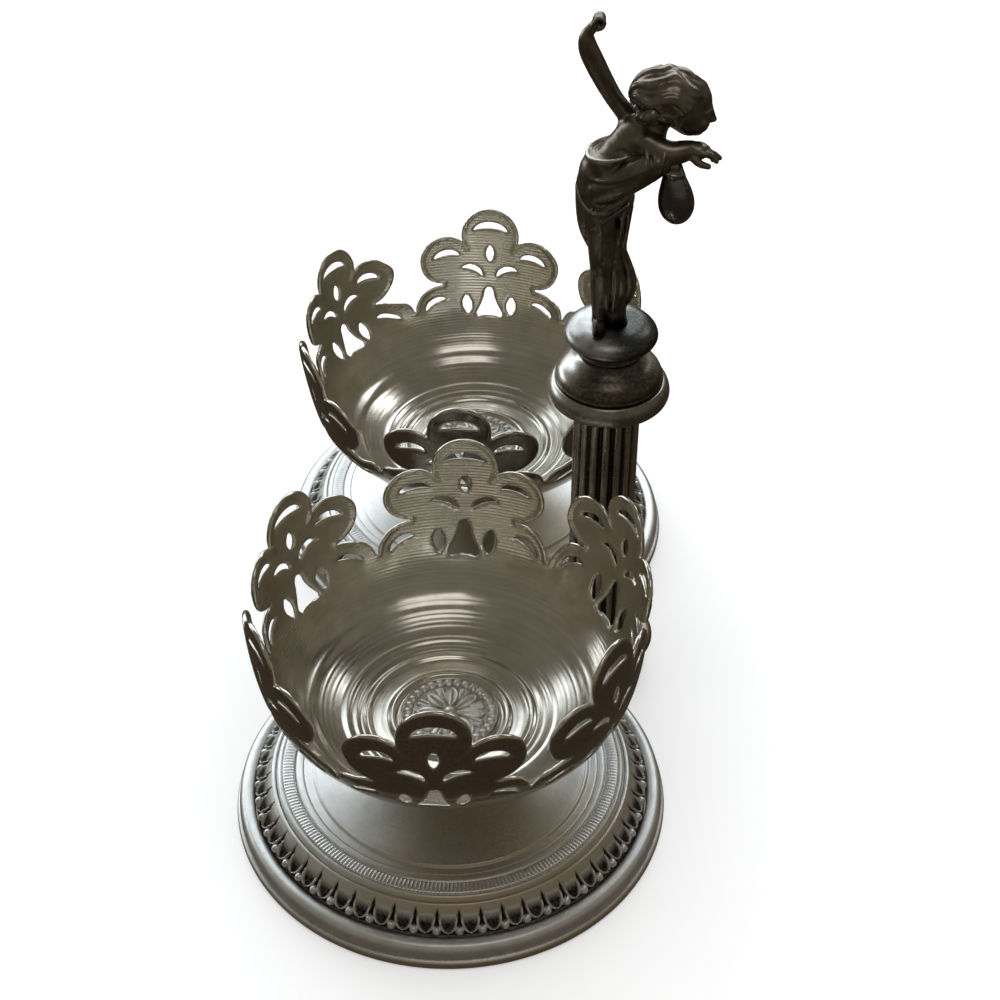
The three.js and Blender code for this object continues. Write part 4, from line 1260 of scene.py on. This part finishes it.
def hoop(middle, by_cosine, by_sine, radius, count):
    """Rows of a limb that closes on itself: the middle + cos t times one arm + sin t times the other."""
    t = np.linspace(0, TAU, count)[:, None]
    places = np.array(middle) + np.array(by_cosine) * np.cos(t) + np.array(by_sine) * np.sin(t)
    return np.hstack([places, np.full((count, 1), radius)])


def print_share():
    print("share of metal in the clay:", round(float((clay[0] < 0).mean()), 3))


# %% [markdown]
# Body, dress and limbs come first. The child leans forward over crossed legs, with one arm thrown up and
# back and the other held forward. Each limb below is a list of places with a radius, from its root out.

# %% Legs and feet
limb([(0.2, 0.2, -0.6, 2.3), (0.3, 0.2, 3, 2.2), (0.0, 0.2, 8, 2.1), (-0.6, 0.2, 14, 2.1),
      (-1, 0.2, 20, 2.2)])
# the near leg, straight, with its knee
limb([(-2.9, -0.7, 25, 2.9), (-2.5, -1.2, 20.5, 2.75), (-2.4, -1.5, 16.2, 2.35), (-2.25, -1.8, 13.4, 2.15),
      (-2.2, -1.6, 11.4, 1.95), (-2.0, -1.1, 8.8, 2.15), (-2.1, -1.0, 6.2, 1.85), (-2.4, -1.2, 3.0, 1.2),
      (-2.4, -1.3, 1.0, 1.15)], 0.35)
lump((-2.3, -3.3, 13.3), (1.1, 0.7, 1.3), 0.6)
# the far leg, bent behind it
limb([(0.2, 0.8, 25, 2.7), (-0.1, 0.9, 20, 2.4), (-0.3, 1.0, 14.8, 1.95), (1.0, 1.1, 11.4, 2.0),
      (2.0, 1.1, 8.0, 2.2), (2.0, 1.0, 5.6, 1.95), (1.1, 0.9, 3, 1.35), (0.6, 1.0, 1.2, 1.1)], 0.2)
# the near foot with its toes, and the far one
limb([(-2.4, -1.2, 1.0, 1.15), (-2.3, -3.0, 0.95, 1.15), (-2.2, -4.6, 0.45, 0.85)], 0.25)
lump((-2.25, -4.3, 0.3), (1.2, 1.5, 0.55), 0.35)
for toe in range(5):
    lump((-3.1 + toe * 0.44, -5.5 + abs(toe - 1.2) * 0.2, 0.15), (0.25, 0.45, 0.3), 0.1)
lump((1.1, 2.6, 0.5), (1.2, 2.3, 0.8))

# %% Trunk
limb([(-1.7, -0.1, 25.6, 4.3, 1.1), (-2.0, -0.1, 28.0, 4.2, 1.1), (-1.1, 0, 31.2, 3.9, 1.08),
      (0.9, 0, 34.0, 3.9, 1.05), (2.7, 0.1, 36.4, 3.9), (4.3, 0.1, 38.2, 3.2), (5.6, 0, 39.8, 2.3),
      (6.8, 0, 41.6, 2.0), (7.6, 0, 43, 2.0)])
lump((4.7, -1.2, 36.6), (2.7, 2.4, 2.5), 0.8)
lump((1.6, 2.3, 37.6), (2.2, 2.1, 2.2), 0.8)
print_share()

# %% [markdown]
# A cloth lies round the hips, its edges rolled, one end of it hanging behind. It is the hips' own form
# grown fuller and cut off under a slanting hem, because that is how such a casting is modelled: nothing
# in it is thin enough to be a real sheet.

# %% Cloth round the hips
HIPS = np.array([(-2.1, -0.2, 26.2, 5.15, 1.12), (-2.0, -0.2, 29.6, 4.95, 1.12), (-1.4, 0, 33.6, 4.3, 1.03)])


def hip_cloth(x, y, z):
    """The hips grown fuller, kept above a hem that dips on the near left side and climbs to the right."""
    folds = 0.08 * np.sin(2.3 * x + 1.4 * z + 0.5 * y)
    hem = 25.2 + 0.55 * np.clip(x + 3, 0, 9) + 0.75 * np.clip(-3.6 - x, 0, 4) + 0.25 * np.clip(y + 2, 0, 9)
    top = 34.9 + 0.2 * x
    return np.maximum(np.maximum(swept(x, y, z, HIPS) + folds, (hem - z) * 0.8), (z - top) * 0.8)


work(hip_cloth, (-8, -6, 22), (4, 6, 35.5), 0.12)
# the hollow inside the upper edge, the roll on it, and the belly that fills it
limb(hoop((-1.2, 0, 35.2), (-3.5, 0, -0.75), (0, -3.5, 0), 0.75, 40), 0.15, cut=True, times=0)
limb(hoop((-1.3, 0, 34.6), (-4.25, 0, -0.85), (0, -4.15, 0), 0.34, 40), 0.1, times=0)
lump((0.9, 0, 34.2), (4.0, 3.6, 3.4), 0.15)
# the rolled hem
limb([(-7.0, -1.0, 27.9, 0.3), (-6.3, -3.2, 26.4, 0.3), (-5.0, -4.6, 25.3, 0.34), (-3.3, -5.0, 25.0, 0.36),
      (-1.5, -4.9, 25.9, 0.34), (1.0, -4.2, 27.2, 0.3), (2.6, -3.2, 28.6, 0.26)], 0.12)
# the end that hangs behind, and the folds that cross below the hem
limb([(-5.3, 0.6, 27, 2.0, 0.8), (-5.35, 0.4, 23.2, 1.8, 0.8), (-5.1, 0.3, 19.6, 1.55, 0.85),
      (-4.8, 0.2, 17.2, 0.9, 0.9), (-4.6, 0.2, 15.6, 0.4)], 0.12)
limb([(-6.6, -0.8, 24.5, 0.35), (-6.3, -1.0, 20.5, 0.3), (-5.2, -0.8, 17, 0.2)], 0.1)
limb([(1.6, -3.3, 25.9, 0.4), (-0.6, -4.0, 24.2, 0.5), (-2.6, -3.8, 22.6, 0.45),
      (-4.2, -3.0, 21.0, 0.3)], 0.2)
limb([(-4.2, -3.6, 24.6, 0.4), (-2.9, -4.0, 22.4, 0.4), (-2.6, -3.7, 20.6, 0.3)], 0.2)

# %% Folds down the legs
for x, y, size, sway in ((0.9, -2.0, 0.5, 0.5), (2.0, -1.0, 0.5, 0.9)):
    limb([(x + 0.2, y - 0.5, 24.5, size), (x - 0.1, y - 0.1, 20, size * 0.7),
          (x - 0.6, y + 0.2, 15, size * 0.8), (x - 0.2 + sway, y + 0.1, 11, size * 1.3),
          (x + 0.3 + sway, y + 0.2, 7.6, size * 1.4),
          (x - 0.4 + sway * 0.6, y + 0.7, 4.4, size * 0.8)], 0.7)
limb([(-0.1, -2.2, 13.5, 0.4), (0.4, -2.2, 10.5, 0.55), (0.3, -2.1, 7, 0.55), (0.1, -1.9, 3.6, 0.4)], 0.5)
limb([(-1.2, -2.3, 9.5, 0.3), (-0.9, -2.5, 7, 0.4), (-1.0, -2.4, 4, 0.3)], 0.5)
# the groove between the legs, and four creases in the near leg's cloth
limb([(0.9, -3.0, 25, 0.14), (0.6, -2.9, 20, 0.22), (-0.1, -2.9, 14.5, 0.2), (-0.3, -2.8, 11, 0.16),
      (-0.2, -2.6, 8, 0.1)], 0.25, cut=True)
for x, z, lean in ((-3.6, 18.5, 0.5), (-2.2, 17.0, 0.3), (-3.0, 10.0, -0.2), (-1.6, 6.4, 0.2)):
    limb([(x, -4.0, z + 2.2, 0.1), (x + lean, -4.15, z, 0.24),
          (x + lean * 0.6, -3.7, z - 2.4, 0.1)], 0.35, cut=True)
print_share()

# %% The arm thrown back
limb([(2.2, 2.7, 37.6, 1.9), (0.6, 3.2, 39.6, 1.6), (-1.3, 3.6, 41.8, 1.5), (-3.2, 3.8, 45.0, 1.65),
      (-4.8, 3.75, 48.2, 1.75), (-5.9, 3.6, 50.6, 1.7), (-6.3, 3.5, 52.3, 1.4), (-6.2, 3.35, 53.6, 1.0),
      (-5.4, 3.2, 54.7, 0.9)], 0.5)
lump((-4.75, 3.1, 55.4), (0.95, 1.25, 1.05))
for finger in range(4):
    y = 2.15 + finger * 0.62
    limb([(-5.1, y, 55.8, 0.42), (-4.75, y, 56.75, 0.4), (-3.95, y - 0.05, 56.9, 0.38),
          (-3.55, y - 0.1, 56.2, 0.36)], 0.06, times=1)
limb([(-4.6, 2.2, 54.9, 0.42), (-3.8, 1.9, 55.3, 0.4), (-3.5, 2.3, 55.9, 0.36)], 0.08, times=1)

# %% The arm held forward, out of its gathered cloth
limb([(4.0, -2.3, 37.2, 2.4), (6.4, -3.3, 36.3, 2.15), (8.4, -3.6, 36.0, 2.05), (10.2, -3.4, 36.4, 1.85),
      (11.5, -3.2, 36.7, 1.5)], 0.6)
limb([(-2.8, -3.0, 28.6, 2.6), (-1.0, -3.6, 29.8, 2.75), (1.4, -4.0, 31.4, 2.75), (3.8, -4.1, 33.0, 2.6),
      (6.3, -4.0, 34.6, 2.3)], 0.35)
for lift, size in ((2.3, 0.42), (1.2, 0.5), (-0.2, 0.4)):
    limb([(-4.6, -3.6, 28.4 + lift, size * 0.6), (-2.6, -5.3, 28.9 + lift, size),
          (0.4, -6.2, 30.2 + lift * 0.9, size), (3.4, -6.35, 32.4 + lift * 0.7, size),
          (6.2, -5.9, 34.4 + lift * 0.5, size * 0.7)])
# the cuff, and two folds over the forearm
limb(hoop((6.7, -3.9, 34.9), (0, 2.35, 0), (0.5, 0, 2.3), 0.36, 24), 0.15, times=0)
for x, sway in ((4.6, -0.5), (5.6, -0.2)):
    limb([(x + sway, -4.6, 37.0, 0.25), (x, -6.1, 35.6, 0.34), (x + 0.3, -6.2, 33.6, 0.32),
          (x + 0.2, -5.0, 31.9, 0.2)])
# the hand
lump((12.7, -3.1, 36.5), (1.9, 1.75, 1.45), 0.35)
for finger, (reach, fall) in enumerate(((2.2, 0.9), (2.75, 0.7), (2.3, 1.6), (1.8, 2.1))):
    y = -4.3 + finger * 0.78
    inward = 1.5 - finger
    limb([(13.3, y, 36.6, 0.62), (13.3 + reach * 0.6, y - 0.05 * inward, 36.6 - fall * 0.2, 0.56),
          (13.5 + reach, y - 0.08 * inward, 36.2 - fall, 0.44)], 0.07, times=1)
limb([(11.8, -4.3, 35.9, 0.75), (12.9, -4.9, 35.0, 0.66), (14.4, -4.9, 34.6, 0.52)], 0.12, times=1)
print_share()

# %% [markdown]
# The head keeps a child's plain proportions: eyes half way up, the space of one eye between them, the
# nose's foot and the mouth dividing what lies below. Its forms are placed along the head's own axes,
# forward, sideways and up, which are then tilted. A sculpting brush could do the same, but its strokes
# can't be read or changed later as numbers can.

# %% The head's own axes
HEAD = np.array([8.9, 0, 43.2])
HEAD_TILT = 0.22
cos, sin = np.cos(HEAD_TILT), np.sin(HEAD_TILT)
nod = np.array([[cos, 0, sin], [0, 1, 0], [-sin, 0, cos]])


def on_head(*place):
    """A place given forward, sideways and up from the head's middle, in the clay's own frame."""
    return nod @ np.array(place, float) + HEAD


def along_head(x, z):
    """How far forward and how far up along the head's axes a place in the clay is."""
    return (x - HEAD[0]) * cos - (z - HEAD[2]) * sin, (x - HEAD[0]) * sin + (z - HEAD[2]) * cos


def face_limb(rows, soft, cut=False):
    limb([(*on_head(*row[:3]), row[3]) for row in rows], soft, cut, times=1)


def head_lump(centre, radii, soft=0.3, cut=False):
    """An ellipsoid along the head's axes."""
    def distance(x, y, z):
        forward, upward = along_head(x, z)
        return egg(forward, y, upward, centre, radii)
    work(distance, on_head(*centre) - max(radii), on_head(*centre) + max(radii), soft, cut)


# %% Skull and face
head_lump((0.0, 0, 0.9), (5.5, 4.6, 4.7), 0.4)
head_lump((2.6, 0, -1.5), (3.3, 3.2, 3.3), 0.9)
head_lump((4.4, 0, -3.55), (1.1, 1.2, 0.95), 0.7)
for side in (-1, 1):
    # cheek, eye socket, eyeball, brow, lid line, nostril and ear
    head_lump((4.2, side * 1.9, -1.55), (1.5, 1.45, 1.5), 0.6)
    head_lump((5.75, side * 1.75, 0.25), (0.9, 1.15, 0.62), 0.5, cut=True)
    head_lump((4.85, side * 1.72, 0.2), (0.78, 0.85, 0.62), 0.1)
    face_limb([(5.3, side * 0.6, 1.05, 0.3), (5.35, side * 1.6, 1.2, 0.34),
               (4.6, side * 2.7, 0.85, 0.25)], 0.35)
    face_limb([(5.45, side * 1.0, 0.0, 0.1), (5.62, side * 1.7, 0.12, 0.1),
               (5.2, side * 2.45, -0.05, 0.1)], 0.1, True)
    head_lump((6.0, side * 0.52, -1.3), (0.42, 0.36, 0.36), 0.2)
    face_limb([(0.9, side * 4.35, 0.7, 0.4), (0.1, side * 4.7, 0.9, 0.45), (-0.4, side * 4.75, 0.0, 0.45),
               (0.1, side * 4.6, -0.9, 0.4), (0.8, side * 4.3, -1.3, 0.4)], 0.12)
# nose, upper lip, lower lip, and the line between the lips
face_limb([(5.35, 0, 0.9, 0.42), (5.9, 0, 0.0, 0.42), (6.45, 0, -1.05, 0.5)], 0.4)
head_lump((6.45, 0, -1.15), (0.55, 0.52, 0.48), 0.25)
face_limb([(5.35, -0.95, -2.4, 0.2), (5.85, -0.35, -2.15, 0.32), (5.9, 0, -2.22, 0.28),
           (5.85, 0.35, -2.15, 0.32), (5.35, 0.95, -2.4, 0.2)], 0.15)
face_limb([(5.3, -0.75, -2.75, 0.22), (5.7, 0, -2.85, 0.38), (5.3, 0.75, -2.75, 0.22)], 0.15)
face_limb([(5.4, -1.15, -2.5, 0.09), (6.15, 0, -2.5, 0.12), (5.4, 1.15, -2.5, 0.09)], 0.08, cut=True)

# %% [markdown]
# The hair is a cap cut back along a hairline and combed into waves, with a row of curls at the nape.
# Strands could be combed one by one. In so small a casting they are only low waves in the metal.

# %% Hair
HAIRLINE = np.array([(-4.5, -3.4), (-2.0, -2.2), (-0.6, -0.9), (0.9, 0.5), (2.3, 2.6), (3.4, 4.0), (4.4, 4.7),
                     (6.5, 5.6)])


def hair(x, y, z):
    """A full cap, kept behind the hairline and raised in waves that run back from the brow."""
    forward, upward = along_head(x, z)
    cap = egg(forward, y, upward, (-1.45, 0, 0.9), (6.75, 5.25, 5.0))
    round_it = np.arctan2(y, upward + 1.2)
    waves = 0.2 * np.sin(11 * round_it + 1.5 * np.sin(0.9 * forward))
    waves = waves + 0.13 * np.sin(1.9 * forward + 5 * round_it)
    strands = 0.05 * np.sin(34 * round_it + 3.2 * np.sin(0.9 * forward))
    edge = forward - np.interp(upward + 0.35 * np.sin(2.2 * y), HAIRLINE[:, 0], HAIRLINE[:, 1])
    return np.maximum(cap - waves - strands, 0.75 * edge)


work(hair, HEAD - 8, HEAD + (7, 6.5, 7), 0.12)
for around in -1.9 + 0.475 * np.arange(9):
    nape = (-4.6 - 1.6 * np.cos(around), 4.6 * np.sin(around), -1.3 + 0.5 * np.cos(3 * around))
    head_lump(nape, (1.15, 1.1, 1.25), 0.25)
print_share()

# %% [markdown]
# The skin is drawn where the number is zero. Marching cubes would do it with a long table of cases. Here
# each cell that the level crosses gets one point, which needs no table and gives clean four-cornered faces.

# %% The skin
def skin():
    """The zero level as points and four-cornered faces.

    Each cell that the level crosses gets one point, the mean of the crossings on its sides. Each side of
    the lattice that is crossed gets one face, from the four cells round it.
    """
    field = clay[0]
    inside = field < 0
    strides = np.array([field.shape[1] * field.shape[2], field.shape[2], 1])
    cells, spots, turned = [], [], []
    for k in range(3):
        e = np.eye(3, dtype=int)
        changes = np.diff(inside.astype(np.int8), axis=k) != 0
        corner = np.argwhere(changes)
        f0, f1 = field[tuple(corner.T)], field[tuple((corner + e[k]).T)]
        a, b = e[(k + 1) % 3], e[(k + 2) % 3]
        round_it = np.stack([corner, corner - a, corner - a - b, corner - b], 1) @ strides
        out = inside[tuple(corner.T)][:, None]
        cells.append(round_it)
        turned.append(np.where(out, round_it, round_it[:, ::-1]))
        spots.append(corner + e[k] * (f0 / (f0 - f1))[:, None])
    cells, spots = np.concatenate(cells), np.repeat(np.concatenate(spots), 4, 0)
    used, place = np.unique(cells.ravel(), return_inverse=True)
    count = np.bincount(place)
    points = np.stack([np.bincount(place, spots[:, k]) / count for k in range(3)], 1)
    return points * CLAY_STEP + CLAY_LOW, np.searchsorted(used, np.concatenate(turned))


def hollows(points):
    """How far each skin point sits in a hollow: the mean distance over the lattice round it, turned over.
    In a crease more of what is near is metal, so the mean is below zero there. It is read between
    lattice points."""
    mean = np.clip(clay[0], -1, 1)
    for k in (0, 0, 1, 1, 2, 2):
        near = np.roll(mean, 1, k) + mean + np.roll(mean, -1, k)
        mean = (np.roll(mean, 2, k) + near + np.roll(mean, -2, k)) / 5
    place = (points - CLAY_LOW) / CLAY_STEP
    corner = place.astype(int)
    share = place - corner
    total = np.zeros(len(points))
    for step in np.ndindex(2, 2, 2):
        weight = np.prod(np.where(step, share, 1 - share), axis=1)
        total += weight * mean[tuple((corner + step).T)]
    return rise(-total, 0.02, 0.2) - rise(total, 0.12, 0.3)


# %% Casting the child
PLINTH_TOP = 81.8


def cast(name, finish, replaces, highlight_and_darkening=None):
    """Evens the skin a little, by moving points to the middle of their neighbours, and makes the piece. A
    last function given may lighten the metal where it is above zero, as a painted highlight, and darken it
    where it is below, beyond what the hollows make."""
    points, faces = skin()
    after = np.roll(faces, -1, 1).ravel()
    ends = np.concatenate([faces.ravel(), after])
    others = np.concatenate([after, faces.ravel()])
    mean = np.stack([np.bincount(ends, points[others, k]) for k in range(3)], 1) / np.bincount(ends)[:, None]
    points = points + 0.5 * (mean - points)
    mask = hollows(points)
    if highlight_and_darkening:
        mask -= highlight_and_darkening(*points.T)
    make_piece(name, points + np.array([*COLUMN, PLINTH_TOP]), [faces], finish, replaces, {"tarnish_and_painted_light": mask})


def hem_highlight_and_dark_feet(x, y, z):
    """Positive along the cloth's upper roll, which gets a painted highlight, and negative at the feet, which
    are made darker.
    """
    round_hips = (np.hypot((x + 1.3) / 4.25, y / 4.15) - 1) * 4.2
    roll = ridge(np.hypot(round_hips, z - 34.6 - 0.2 * (x + 1.3)), 0.85)
    # painted highlight along the roll; the feet darker
    return 1.3 * roll * (x < 2.5) - 0.8 * rise(z, 3.2, 0.8)


cast("dancing_child", bronzed, ["figure_body", "figure_raised_arm", "figure_forward_arm"], hem_highlight_and_dark_feet)

# %% [markdown]
# Under the forward arm hangs a pear-shaped drop on a short strap. It is cast with the arm and polished,
# so it is made the same way, in fresh clay.

# %% Drop
clay = new_clay()
limb([(8.8, -4.0, 34.0, 1.3), (8.9, -4.0, 32.2, 1.75), (9.2, -4.0, 30.2, 2.4), (9.5, -4.0, 28.1, 3.0),
      (9.7, -4.0, 26.7, 3.1), (9.8, -4.0, 25.9, 2.65)], 0.1)
limb([(9.7, -4.0, 34.4, 0.4), (10.7, -5.0, 32.5, 0.34), (11.5, -5.8, 29.7, 0.3), (12.2, -5.8, 27.0, 0.22)])
limb([(7.6, -5.2, 33.1, 0.3), (9.0, -5.7, 32.8, 0.34), (10.4, -5.0, 32.9, 0.3)], 0.2)
cast("hanging_drop", polished, ["figure_drop"])

# %% [markdown]
# ## Hidden fastenings
# The saddle, the rods, the nuts and the washers are inside the stand and keep their solids. They get a
# plain turned finish: brass for what is screwed, silver for the saddle, which is soldered to the rims.

# %% Hidden fastenings
for name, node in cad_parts.items():
    if not node.hide_render:
        material, _ = solder if name == "rim_saddle" else brass
        node.data.materials.clear()
        node.data.materials.append(material)
        print(name, "is", material.name)
